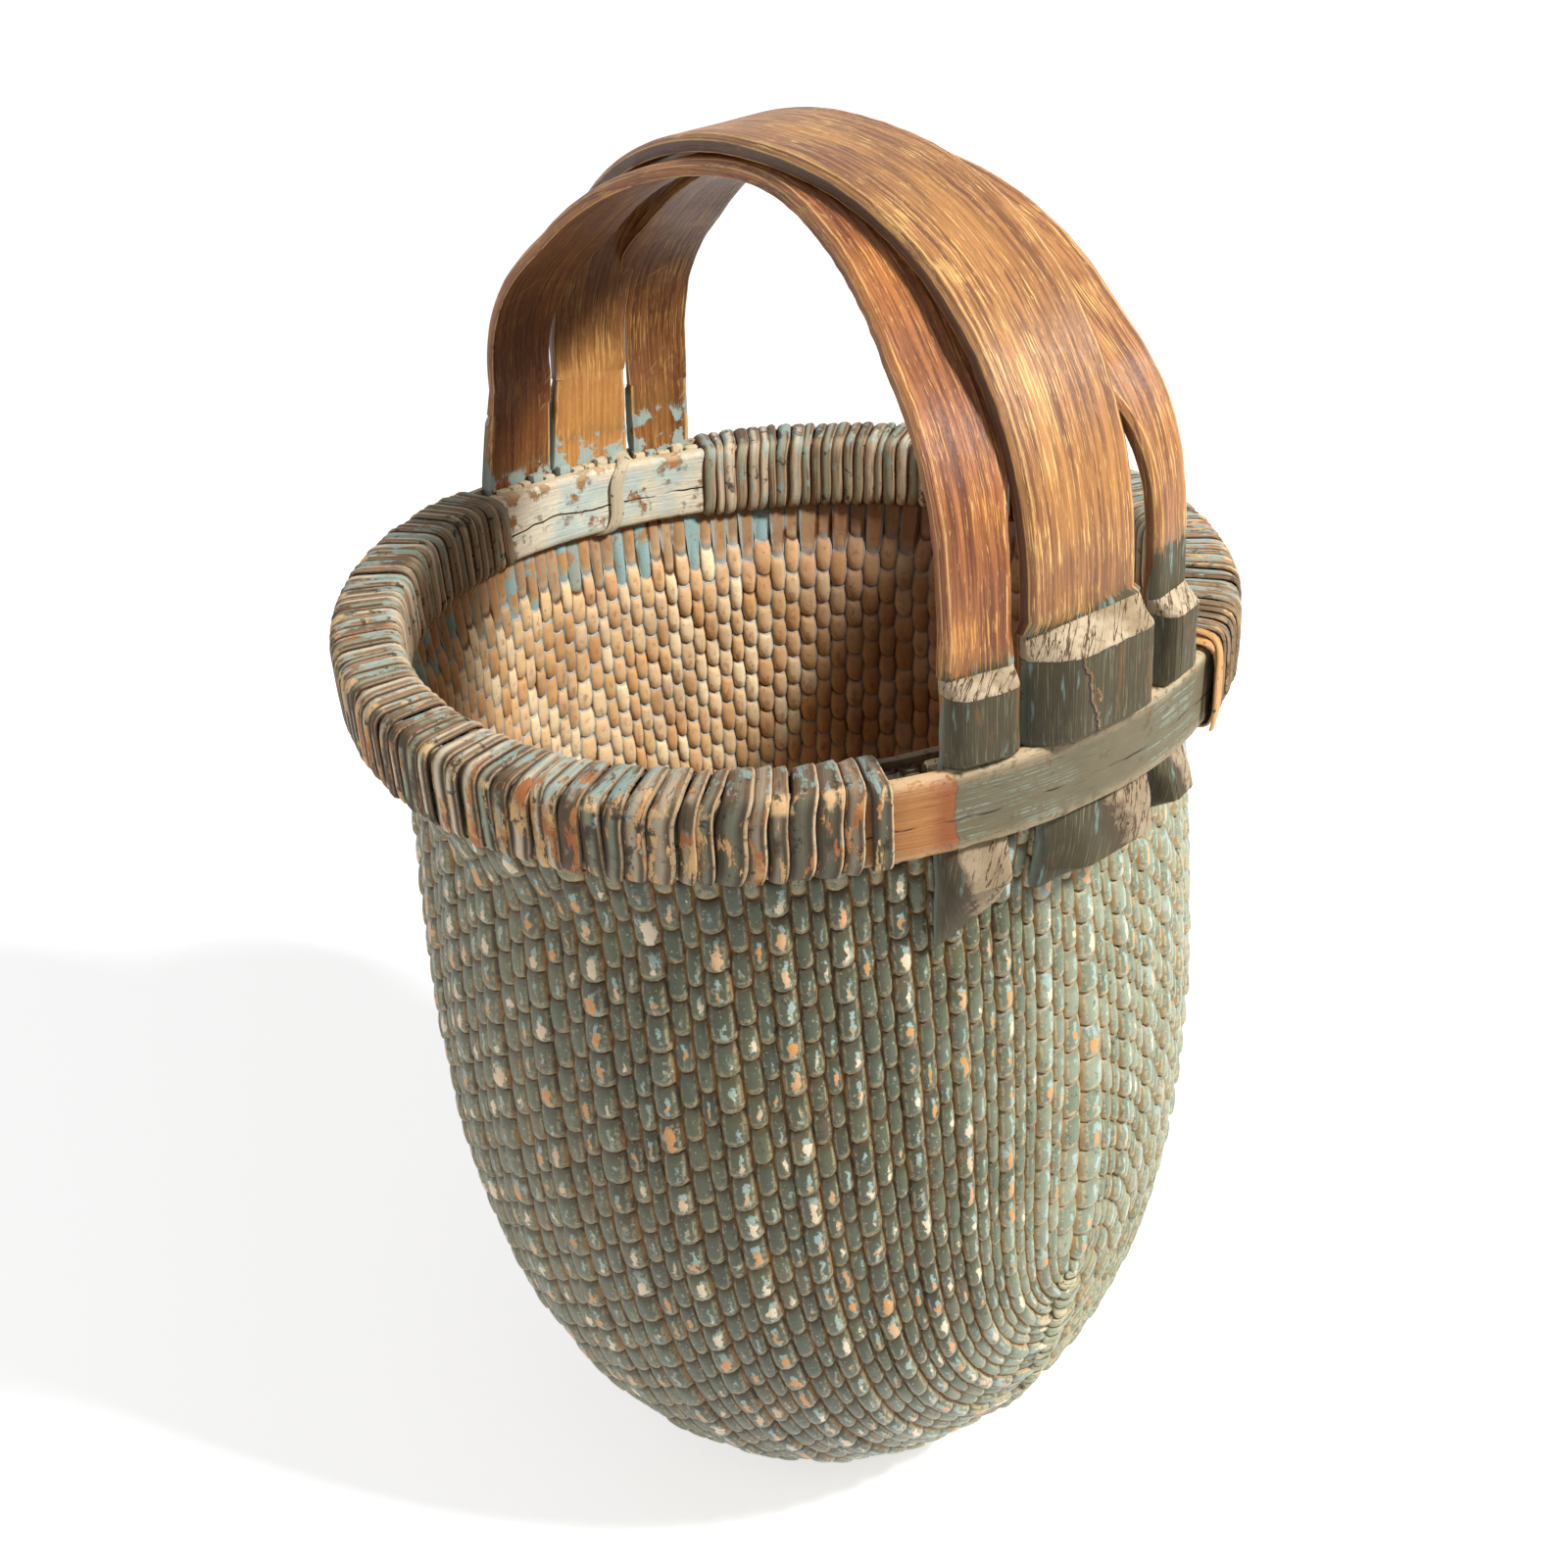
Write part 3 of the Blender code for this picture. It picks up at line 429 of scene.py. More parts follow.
@dataclass(frozen=True)
class Weave:
    """Willow rods woven over cords, seen as staggered beads.

    The rods run down from the rim and meet along a seam under the floor, between
    one turning point on each end wall. Seen flat, rods are hyperbolas and the
    turning points their foci.
    """

    rim: Rim
    rods: int = 132
    width_shares: tuple = (1.24, 0.92, 0.84)
    bead_length: float = 0.0156
    first_length: float = 0.0375
    first_length_inside: float = 0.0520
    shortest: float = 0.48
    turning_share: float = 0.486
    turn: float = math.radians(3.0)
    even_share: float = 0.7
    crest: float = 0.0016
    low_crest: float = 0.0002
    sink: float = -0.0024
    sink_inside: float = -0.0015
    twist: float = 0.0065
    core_out: float = 0.0019
    core_in: float = 0.0042

    def bent(self, rim_angle: Array, reach: Array) -> Array:
        """Hyperbola angle of a rod: its rim angle, eased to even spacing across the seam as reach falls.

        Args:
            rim_angle: where the rod leaves the rim.
            reach: elliptic distance from the seam.

        Returns:
            The angles.
        """
        half = np.clip(np.abs(rim_angle), 0, math.pi)
        even = np.arccos(np.clip(1 - 2 * half / math.pi, -1, 1))
        ease = self.even_share * (1 - smooth(reach / math.acosh(1 / self.turning_share)))
        return np.sign(rim_angle) * (half + (even - half) * ease)

    def place(
        self, rim_angle: Array, half: Array, across: Array, travel: Array
    ) -> tuple[Array, Array]:
        """Plan angle and meridian share of a point on a rod.

        With e the elliptic distance and h the hyperbola's angle, x = cosh e cos h and
        y = sinh e sin h. Both edges of the rod are placed and the point lies between.

        Args:
            rim_angle: where the rod's middle leaves the rim, from -pi to pi.
            half: half the rod's width at the rim, in radians.
            across: -1 at one edge of the rod and 1 at the other.
            travel: 0 at the rim and 1 at the seam.

        Returns:
            Plan angles and shares of the meridian.
        """
        far = math.acosh(1 / self.turning_share)
        reach = far * (1 - travel)
        low, high = self.bent(rim_angle - half, reach), self.bent(rim_angle + half, reach)
        bent = (low + high) / 2 + (high - low) / 2 * across
        x = np.cosh(reach) * np.cos(bent)
        y = np.sinh(reach) * np.sin(bent)
        angle = np.arctan2(y, x)
        edge = 1 / np.hypot(np.cos(angle) / math.cosh(far), np.sin(angle) / math.sinh(far))
        return angle + self.turn, np.hypot(x, y) / edge

    def rod_middles(self, side: Side) -> tuple[Array, Array]:
        """Rim angle and half width of each rod: one wide and two narrow outside, nearly even inside.

        Args:
            side: which face of the wall.

        Returns:
            The rods' middles and half widths, in radians.
        """
        draw = np.random.default_rng(SEED)
        shares = self.width_shares if side is Side.OUTSIDE else (1.06, 0.97, 0.97)
        widths = np.tile(shares, self.rods // len(shares)) * draw.uniform(0.93, 1.07, self.rods)
        middles, halves = [], []
        for start, part in ((0.0, widths[: self.rods // 2]), (-math.pi, widths[self.rods // 2:])):
            span = part / part.sum() * math.pi
            edges = start + np.concatenate([[0], np.cumsum(span)])
            middles.append((edges[1:] + edges[:-1]) / 2)
            halves.append(span / 2)
        return np.concatenate(middles), np.concatenate(halves)

    def beads(self, side: Side, table: SurfaceTable) -> dict[str, Array]:
        """Start, end and rod of every bead, measured along the rod from the top of the wall.

        Args:
            side: which face of the wall.
            table: the body's surface.

        Returns:
            Each bead's rod, start, end and whether it is its rod's first, and the steps and
            travel along every rod.
        """
        middles, halves = self.rod_middles(side)
        draw = np.random.default_rng(SEED + 2 + side.value)
        steps = np.linspace(0, 1, 240)
        lines = []
        for edge in (-1, 0, 1):
            angle, share = self.place(middles[:, None], halves[:, None], edge, steps[None, :])
            lines.append(table.sample(angle, share)[0])
        travel = np.linalg.norm(np.diff(lines[1], axis=1), axis=-1)
        travel = np.concatenate([np.zeros((self.rods, 1)), np.cumsum(travel, 1)], 1)
        widths = np.linalg.norm(lines[2] - lines[0], axis=-1)
        shrink = np.clip(widths / widths[:, :60].mean(1, keepdims=True), self.shortest, 1.0)
        first_length = self.first_length if side is Side.OUTSIDE else self.first_length_inside
        rods, starts, ends, first = [], [], [], []
        for rod in range(self.rods):
            odd = (rod + (side is Side.INSIDE)) % 2
            step = np.diff(travel[rod]) / (self.bead_length * (shrink[rod, 1:] + shrink[rod, :-1]) / 2)
            beads_along = np.concatenate([[0], np.cumsum(step)])
            begin = np.interp(first_length, travel[rod], beads_along)
            marks = begin + 0.5 * odd + np.arange(int(beads_along[-1] - begin) + 1)
            cuts = np.interp(marks[marks < beads_along[-1]], beads_along, travel[rod])
            cuts = cuts + draw.uniform(-0.0007, 0.0007, len(cuts))
            last = travel[rod, -1]
            cuts = np.concatenate([[draw.uniform(0, 0.0035)], cuts[cuts < last - 0.003], [last]])
            rods.append(np.full(len(cuts) - 1, rod))
            starts.append(cuts[:-1])
            ends.append(cuts[1:])
            first.append(np.arange(len(cuts) - 1) == 0)
        return {
            "rod": np.concatenate(rods),
            "start": np.concatenate(starts),
            "end": np.concatenate(ends),
            "first": np.concatenate(first),
            "steps": steps,
            "travel": travel,
        }

    def bead_grid(self, side: Side, table: SurfaceTable) -> tuple[Array, dict[str, Array]]:
        """Points of all beads, with the marks that their finish reads.

        Across a bead the height falls off as (1 - |u|^n)^0.62, with n 3 outside and
        2.4 inside. Along it the height rises softly from under the bead above and
        ends in a full, steep lip. The ends bow downward by a share of (1 - u^2).

        Args:
            side: which face of the wall.
            table: the body's surface.

        Returns:
            Points by bead, step along and step across, and the marks by name.
        """
        outside = side is Side.OUTSIDE
        across = np.array([-1, -0.88, -0.5, 0, 0.5, 0.88, 1] if outside else [-1, -0.8, -0.3, 0.3, 0.8, 1])
        steps = [0, 0.03, 0.16, 0.38, 0.62, 0.84, 0.95, 1]
        along = np.array(steps if outside else [0, 0.05, 0.25, 0.6, 0.9, 1])
        rise = np.interp(along, steps, [0, 0.45, 0.76, 0.95, 1, 0.98, 0.78, 0])
        sink = self.sink if outside else self.sink_inside
        sets = self.beads(side, table)
        draw = np.random.default_rng(SEED + 5 + side.value)
        rod, count = sets["rod"], len(sets["rod"])
        middles, halves = self.rod_middles(side)
        u, v = np.meshgrid(across, along)
        bow = 0.0015 * (1 - u ** 2)
        length = (sets["end"] - sets["start"])[:, None, None]
        reach = sets["start"][:, None, None] + v * length + bow
        proud = rod % 3 == 0
        ends = np.abs(2 * v - 1)
        square = 1.02 - 0.10 * ends ** 5
        oval = 1.08 - 0.22 * ends ** 2.4 if outside else 1.16 - 0.38 * ends ** 2.4
        outline = np.where(proud[:, None, None] & outside, square, oval)
        tilt = draw.uniform(-0.12, 0.12, count)[:, None, None] * (v - 0.5)
        outline = outline * draw.uniform(0.93, 1.04, count)[:, None, None]
        middle, half = middles[rod][:, None, None], halves[rod][:, None, None]
        share_along = np.empty_like(reach)
        for number in range(self.rods):
            chosen = rod == number
            share_along[chosen] = np.interp(reach[chosen], sets["travel"][number], sets["steps"])
        angle, share = self.place(middle, half, u * outline + tilt, share_along)
        base, normal = table.sample(angle, share)
        crest = np.where(proud & outside, self.crest, self.low_crest) + draw.uniform(-0.0004, 0.0004, count)
        full = (1 - np.abs(u) ** (3.0 if outside else 2.4)) ** 0.62
        height = sink + (crest[:, None, None] - sink) * full * np.interp(v, along, rise)
        covered = smooth((reach - 0.031) / 0.005)
        height = np.minimum(height, covered * 0.002)
        lift = height if outside else -(self.rim.wall + height)
        points = base + normal * lift[..., None]
        if outside:
            points[..., 2] = np.maximum(points[..., 2], 0.0002 + 0.0006 * (1 - full))
        values = {
            "bead_u": u,
            "bead_v": v,
            "bead_tone": draw.uniform(0, 1, count)[:, None, None],
            "bead_wear": draw.uniform(0, 1, count)[:, None, None],
            "bead_proud": proud[:, None, None].astype(float),
            "bead_first": sets["first"][:, None, None].astype(float),
        }
        marks = {key: np.broadcast_to(value, reach.shape) for key, value in values.items()}
        marks["rod"] = rod
        return points, marks

    def panels(self, side: Side, table: SurfaceTable, material: Material) -> list[Shape]:
        """The weave of one face in four panels, each bead a closed pillow.

        Args:
            side: which face of the wall.
            table: the body's surface.
            material: the finish.

        Returns:
            The four objects.
        """
        points, marks = self.bead_grid(side, table)
        rod = marks.pop("rod")
        rows, columns = points.shape[1:3]
        quads = grid_faces(rows, columns)
        index = np.arange(rows * columns).reshape(rows, columns)
        back = np.concatenate([index[0, :], index[1:, -1], index[-1, -2::-1], index[-2:0:-1, 0]])[None, :]
        if side is Side.INSIDE:
            quads, back = quads[:, ::-1], back[:, ::-1]
        names = ("back_right", "back_left", "front_left", "front_right")
        made = []
        for number, place in enumerate(names):
            chosen = rod // (self.rods // 4) == number
            count = int(chosen.sum())
            first = (np.arange(count) * rows * columns)[:, None, None]
            piece = Piece(f"{'weave' if side is Side.OUTSIDE else 'lining'}_{place}")
            faces = [(first + quads[None]).reshape(-1, 4), (first + back[None]).reshape(-1, back.shape[1])]
            piece.add(points[chosen], faces, **{key: value[chosen] for key, value in marks.items()})
            made.append(piece.make(material, "painted_willow", ("woven_body",), sharp=80))
        return made

    def core(self, table: SurfaceTable, material: Material) -> Shape:
        """The dark cords and rod sides behind the beads: one closed shell between both faces.

        Args:
            table: the body's surface.
            material: the finish.

        Returns:
            The object.
        """
        angles = np.linspace(0, TAU, 121)[:-1]
        shares = np.concatenate([np.linspace(0.03, 0.9, 50), np.linspace(0.9, 0.99, 9)[1:]])
        base, normal = table.sample(*np.meshgrid(angles, shares))
        outer = base - normal * self.core_out
        inner = base - normal * self.core_in
        outer[..., 2] = np.maximum(outer[..., 2], 0.001)
        rings = np.concatenate([outer, inner[::-1]])
        piece = Piece("weave_core")
        piece.add(rings, tube_faces(rings, closed=False))
        return piece.make(material, "painted_willow", ("woven_body",))

    def seam(self, table: SurfaceTable, material: Material) -> Shape:
        """The flat ridge along the seam under the floor, from one turning point to the other.

        Args:
            table: the body's surface.
            material: the finish.

        Returns:
            The object.
        """
        spread = np.linspace(0.0, math.pi, 560)
        x = np.cos(spread)
        angle = np.where(x >= 0, 0.0, math.pi) + self.turn
        share = np.abs(x) * self.turning_share
        centre, normal = table.sample(angle, share)
        travel = unit(np.gradient(centre, axis=0))
        sideways = unit(np.cross(normal, travel))
        taper = np.clip(np.sin(spread) * 9, 0.05, 1) ** 0.6
        around = np.linspace(0, TAU, 25)[:-1]
        length = np.concatenate([[0], np.cumsum(np.linalg.norm(np.diff(centre, axis=0), axis=1))])
        strands = np.abs(np.sin(length[:, None] / self.twist * math.pi + around[None, :])) ** 0.6
        width = (0.0054 * taper * (1 + 0.2 * ripple(centre, 0.012, 3)))[:, None] * (0.72 + 0.28 * strands)
        lift = (0.0024 * taper * (1 + 0.2 * ripple(centre, 0.008, 4)))[:, None] * (0.62 + 0.38 * strands)
        wander = 0.0012 * ripple(centre, 0.05, 5)
        beside = (width * np.cos(around) + wander[:, None])[..., None]
        above = (lift * np.sin(around) - 0.0002)[..., None]
        rings = centre[:, None, :] + sideways[:, None, :] * beside + normal[:, None, :] * above
        rings[..., 2] = np.maximum(rings[..., 2], 0.0001)
        piece = Piece("weave_seam")
        slanted = length[:, None] + around[None, :] * self.twist / math.pi
        faces = tube_faces(rings, closed=False)
        piece.add(rings, faces, grain_along=width * 3, grain_across=slanted, cord_groove=strands)
        return piece.make(material, "painted_willow", ("woven_body",), sharp=60)


# Cane and hoops


@dataclass(frozen=True)
class Winding:
    """One unbroken strip of split cane wound round the rim in many uneven turns."""

    name: str
    node: str
    rim: Rim
    start_deg: float
    end_deg: float
    turns: int
    seed: int
    first_width: float = 1.0
    thickness: float = 0.0015
    half_width: float = 0.0132
    half_height: float = 0.0171
    corner: float = 5.2
    under_deg: float = 12.0
    steps: int = 44
    fill: float = 1.05

    def section(self, phase: Array, swell: Array) -> tuple[Array, Array]:
        """Offset and rise of the strip's middle round the rim: a superellipse |x/a|^n + |y/b|^n = 1.

        Args:
            phase: angle round the rim's section.
            swell: how much larger than usual the section is there.

        Returns:
            Offsets and rises.
        """
        c, s = np.cos(phase), np.sin(phase)
        power = 2 / self.corner
        offset = (self.half_width + swell) * np.sign(c) * np.abs(c) ** power
        rise = (self.half_height + swell) * np.sign(s) * np.abs(s) ** power
        return offset, rise

    def laps(self) -> Array:
        """Phases of one turn, spaced so that the superellipse's sides get even steps.

        Returns:
            The phases.
        """
        under = math.radians(self.under_deg)
        even = np.linspace(-math.pi / 2 + under, 3 * math.pi / 2 - under, 2000)
        offset, rise = self.section(even, np.zeros(2000))
        travel = np.concatenate([[0], np.cumsum(np.hypot(np.diff(offset), np.diff(rise)))])
        return np.interp(np.linspace(0, travel[-1], self.steps), travel, even)

    def sweep(self, phase: Array, swell: Array, theta: Array, raised: Array, **marks: Array) -> Piece:
        """Carries the strip's arched section along its way round the rim's section.

        Args:
            phase: angle round the rim's section at each step.
            swell: how much larger than usual the section is there.
            theta: plan angles, by step and place across the strip.
            raised: how far the strip's faces lie off its middle.
            marks: what else the finish reads.

        Returns:
            The piece, ready to be made.
        """
        offset, rise = self.section(phase, swell)
        ahead_o, ahead_r = self.section(phase + 0.01, swell)
        out = unit(np.stack([ahead_r - rise, offset - ahead_o], -1))
        travel = np.concatenate([[0], np.cumsum(np.hypot(np.diff(offset), np.diff(rise)))])
        offset, rise = offset[:, None], rise[:, None]
        rings = self.rim.around(theta, offset + raised * out[:, :1], rise + raised * out[:, 1:])
        piece = Piece(self.name)
        piece.add(
            rings,
            tube_faces(rings, closed=False),
            grain_along=travel[:, None],
            cane_out=np.cos(phase)[:, None],
            cane_up=np.sin(phase)[:, None],
            **marks,
        )
        return piece

    def build(self, material: Material) -> Shape:
        """Lays out every turn and sweeps the strip along the whole winding.

        Turns are wide and flat where the winding starts and narrow and round
        further on. One edge of each turn rides on its neighbour. The lower end of
        a turn on the outside lies further on than its upper end.

        Args:
            material: the finish.

        Returns:
            The object.
        """
        draw = np.random.default_rng(self.seed)
        start, end = math.radians(self.start_deg), math.radians(self.end_deg)
        step, span = math.copysign(1, end - start), abs(end - start)
        turn = np.repeat(np.arange(self.turns), self.steps)
        phase = np.tile(self.laps(), self.turns)
        share = np.tile(np.linspace(0.02, 0.94, self.steps), self.turns)
        flat = 1 - smooth(np.arange(self.turns) / self.turns / 0.3)
        widths = (1 + (self.first_width - 1) * flat) * draw.uniform(0.72, 1.28, self.turns)
        edges = np.concatenate([[0], np.cumsum(widths)]) / widths.sum()
        middles = (edges[1:] + edges[:-1]) / 2
        half_angle = widths / widths.sum() * span / 2 * self.fill
        sway = draw.normal(0, 0.13, (3, self.turns))
        shift = sway[0][turn] * np.cos(phase) + sway[1][turn] * np.sin(phase)
        shift = shift + sway[2][turn] * np.sin(2 * phase)
        slant = -0.55 * np.sin(phase) + 0.4 * (share - 0.5)
        angle = start + step * (span * middles[turn] + (shift + slant) * half_angle[turn])
        angle = np.clip(angle, min(start, end), max(start, end))
        swell = draw.uniform(0.0, 0.0006, self.turns)[turn] + 0.0002 * np.sin(3 * phase + sway[0][turn] * 9)
        neck = 0.72 + 0.28 * smooth((np.minimum(share, 1 - share)) / 0.1)
        across = np.array([-1, -0.86, -0.45, 0, 0.45, 0.86, 1, 0.6, -0.6])
        ridge = np.array([-0.75, -0.1, 0.38, 0.5, 0.38, -0.1, -0.75, -0.9, -0.9])
        plate = np.array([-0.35, 0.3, 0.42, 0.42, 0.42, 0.3, -0.35, -0.6, -0.6])
        lift = (ridge + (plate - ridge) * flat[turn][:, None]) * self.thickness
        tilt = (0.25 + 0.35 * flat[turn] + draw.uniform(-0.2, 0.2, self.turns)[turn]) * self.thickness
        wide = (half_angle[turn] * neck)[:, None]
        piece = self.sweep(
            phase,
            swell,
            angle[:, None] + across * wide * step,
            lift - across * tilt[:, None],
            grain_across=across * (wide * self.rim.radius),
            cane_side=-across,
            cane_tone=draw.uniform(0, 1, self.turns)[turn][:, None],
            cane_hue=draw.uniform(0, 1, self.turns)[turn][:, None],
            cane_flat=flat[turn][:, None],
        )
        return piece.make(material, "rim_cane", (self.node,), sharp=50)


@dataclass(frozen=True)
class SingleWrap:
    """A strip of cane laid once round part of the rim's section."""

    name: str
    nodes: tuple
    rim: Rim
    start_deg: float
    end_deg: float
    width: float
    from_deg: float
    to_deg: float
    swell: float = 0.0
    tone: float = 0.5
    hue: float = 0.5
    thickness: float = 0.0012
    steps: int = 60

    def build(self, material: Material) -> Shape:
        """Sweeps an arched section from one phase of the rim's section to another.

        Args:
            material: the finish.

        Returns:
            The object.
        """
        phase = np.radians(np.linspace(self.from_deg, self.to_deg, self.steps))
        across = np.array([-1, -0.8, -0.3, 0.3, 0.8, 1, 0.8, -0.8])
        lift = np.array([-0.2, 0.35, 0.5, 0.5, 0.35, -0.2, -0.5, -0.5]) * self.thickness
        angle = np.radians(np.linspace(self.start_deg, self.end_deg, self.steps)) + 0.0025 * np.sin(phase * 2)
        piece = Winding(self.name, "", self.rim, 0, 0, 1, 0).sweep(
            phase,
            self.swell,
            angle[:, None] + across * self.width / 2 / self.rim.radius,
            lift,
            grain_across=across * self.width / 2,
            cane_side=across,
            cane_tone=self.tone,
            cane_hue=self.hue,
            cane_flat=1.0,
        )
        return piece.make(material, "rim_cane", self.nodes, sharp=50)


@dataclass(frozen=True)
class RodEnds:
    """The cut tops of the weave's rods, standing in a row between the two hoops."""

    rim: Rim
    rods: int = 150
    depth: float = 0.0100
    thickness: float = 0.0044
    wound_deg: tuple = ((19.0, 158.0), (-160.0, -27.0))
    wound_sink: float = 0.0036
    foot_deg: float = 30.0
    foot_sink: float = 0.0040
    seed: int = 5

    def build(self, material: Material) -> Shape:
        """Sets up one rounded peg for each rod, all in one array.

        Each peg is a stack of oval rings; its last two rings draw in to a blunt
        top, and its height and lean are drawn at random. Pegs under the winding and
        by the right feet stand lower.

        Args:
            material: the finish.

        Returns:
            The object.
        """
        draw = np.random.default_rng(self.seed)
        around = np.linspace(0, TAU, 9)[:-1]
        shares = np.array([0.0, 0.6, 0.92, 0.98, 1.0])
        sizes = np.array([1.0, 1.0, 0.99, 0.92, 0.7])
        widths = draw.uniform(0.8, 1.2, self.rods)
        edges = np.concatenate([[0], np.cumsum(widths)]) / widths.sum() * TAU
        middle = (edges[1:] + edges[:-1]) / 2
        half = (edges[1:] - edges[:-1]) / 2 * 0.9
        degrees = np.degrees(np.mod(middle + math.pi, TAU) - math.pi)
        wound = np.zeros(self.rods, bool)
        for low, high in self.wound_deg:
            wound |= (degrees > low) & (degrees < high)
        by_foot = np.where(np.abs(degrees) < self.foot_deg, self.foot_sink, 0.0)
        sunk = np.where(wound, self.wound_sink, by_foot)
        top = self.rim.hoop_height / 2 + draw.uniform(-0.0012, 0.0034, self.rods) - sunk
        rise = top[:, None, None] - self.depth * (1 - shares)[None, :, None]
        lean = draw.normal(0, 0.16, self.rods)[:, None, None] * half[:, None, None] * shares[None, :, None]
        wide, deep = (np.sign(wave) * np.abs(wave) ** 0.5 for wave in (np.cos(around), np.sin(around)))
        angle = middle[:, None, None] + lean + half[:, None, None] * sizes[None, :, None] * wide
        middle_offset = (self.rim.wall_in + self.rim.wall_out) / 2
        offset = middle_offset + self.thickness / 2 * sizes[None, :, None] * deep
        points = self.rim.around(angle, offset, rise)
        count, rows, columns = points.shape[:3]
        index = np.arange(rows * columns).reshape(rows, columns)
        sides = grid_faces(rows, columns, closed_columns=True)
        one = facing_out(points[0], [sides, index[:1], index[-1:, ::-1]])
        first = (np.arange(count) * rows * columns)[:, None, None]
        piece = Piece("weave_rod_ends")
        faces = [(first + group[None]).reshape(-1, group.shape[1]) for group in one]
        tone = draw.uniform(0, 1, count)[:, None, None]
        piece.add(points, faces, end_tone=tone, end_level=shares[None, :, None])
        return piece.make(material, "painted_willow", ("woven_body",), sharp=50)


@dataclass(frozen=True)
class BentHoop:
    """A flat band of wood bent right round the rim."""

    name: str
    slot: str
    rim: Rim
    inner: float
    outer: float
    shown_outside: bool
    seed: int
    steps: int = 420

    def build(self, material: Material) -> Shape:
        """Carries the band's section round the rim, with small dents in the face that shows.

        Args:
            material: the finish.

        Returns:
            The object.
        """
        half = self.rim.hoop_height / 2
        chamfer = self.rim.hoop_chamfer
        shown, hidden = (self.outer, self.inner) if self.shown_outside else (self.inner, self.outer)
        step = -chamfer if self.shown_outside else chamfer
        bends = [
            (shown + step * (1 - math.sin(turn)), half - chamfer * (1 - math.cos(turn)))
            for turn in (0.4, 0.8, 1.2)
        ]
        section = [(hidden, -half), (hidden, half), (shown + step, half), *bends]
        section += [(shown, rise) for rise in np.linspace(half - chamfer, chamfer - half, 9)]
        section += [(offset, -rise) for offset, rise in reversed(bends)]
        profile = np.array([*section, (shown + step, -half)])
        angles = np.linspace(0, TAU, self.steps + 1)[:-1] + math.pi / 2
        rings = self.rim.around(angles[:, None], profile[None, :, 0], profile[None, :, 1])
        dent = 0.0004 * ripple(rings, 0.035, self.seed) + 0.0002 * ripple(rings, 0.009, self.seed + 1)
        radial = np.stack([np.cos(angles), np.sin(angles), 0 * angles], -1)[:, None, :]
        facing = (np.abs(profile[:, 0] - shown) < chamfer * 0.9).astype(float)
        inward = 1 if self.shown_outside else -1
        rings = rings - radial * (np.abs(dent) * facing * inward)[..., None]
        along = np.concatenate([[0], np.cumsum(np.linalg.norm(np.diff(rings[:, 0], axis=0), axis=1))])
        piece = Piece(self.name)
        piece.add(
            rings,
            tube_faces(rings, closed=True),
            grain_along=along[:, None],
            grain_across=profile[:, 1],
            hoop_edge=np.clip((np.abs(profile[:, 1]) - half + 0.004) / 0.004, 0, 1),
            hoop_sine=np.sin(angles)[:, None],
            hoop_cosine=np.cos(angles)[:, None],
        )
        return piece.make(material, self.slot, (self.name.replace("_band", ""),), sharp=35)


@dataclass(frozen=True)
class PaddingRods:
    """The bundle of willow rods between wall and outer hoop, under the winding."""

    name: str
    node: str
    rim: Rim
    start_deg: float
    end_deg: float
    rods: int = 5
    height: float = 0.0260

    def build(self, material: Material) -> Shape:
        """Sweeps each rod as a round tube that swells and thins a little.

        Args:
            material: the finish.

        Returns:
            The object.
        """
        angles = np.radians(np.linspace(self.start_deg, self.end_deg, 120))
        around = np.linspace(0, TAU, 11)[:-1]
        radius = self.height / self.rods / 2 * 0.96
        middle = (self.rim.strip_in + self.rim.strip_notch) / 2
        piece = Piece(self.name)
        for number in range(self.rods):
            level = (number + 0.5) / self.rods * self.height - self.height / 2
            size = radius * (1 + 0.06 * np.sin(angles * 9 + number))
            offset = middle + np.minimum(size, self.rim.notch / 2)[:, None] * np.cos(around)
            rise = level + size[:, None] * np.sin(around)
            rings = self.rim.around(angles[:, None], offset, rise)
            along = np.abs(angles - angles[0]) * self.rim.radius + number
            faces = tube_faces(rings, closed=False)
            piece.add(rings, faces, grain_along=along[:, None], grain_across=size[:, None] * around)
        return piece.make(material, "padding_rods", (self.node,), sharp=60)


# Handle


@dataclass(frozen=True)
class StripEnd:
    """One end of a strip: plan angles and widths down its length, and its block's chamfers."""

    arch_deg: float
    rim_deg: float
    tip_deg: float
    arch_width: float
    rim_width: float
    near_chamfer: float
    far_chamfer: float


@dataclass(frozen=True)
class Arch:
    """The arch that all three strips follow."""

    crown_rise: float = 0.1922
    along: float = 0.0064
    across: float = 0.0114
    turn: float = 0.105
    tilt: float = 0.059
    base: float = 0.0610
    power_right: float = 2.40
    power_left: float = 1.88
    top_thickness: float = 0.0070
    edge_round: float = 0.0025
    edge_share: float = 0.72
    drop_start: float = 0.74
    drop_run: float = 0.26
    heel_rise: float = 0.0060
    heel_gap: float = 0.0010
    tuck_start: float = 0.88
    tuck_run: float = 0.12


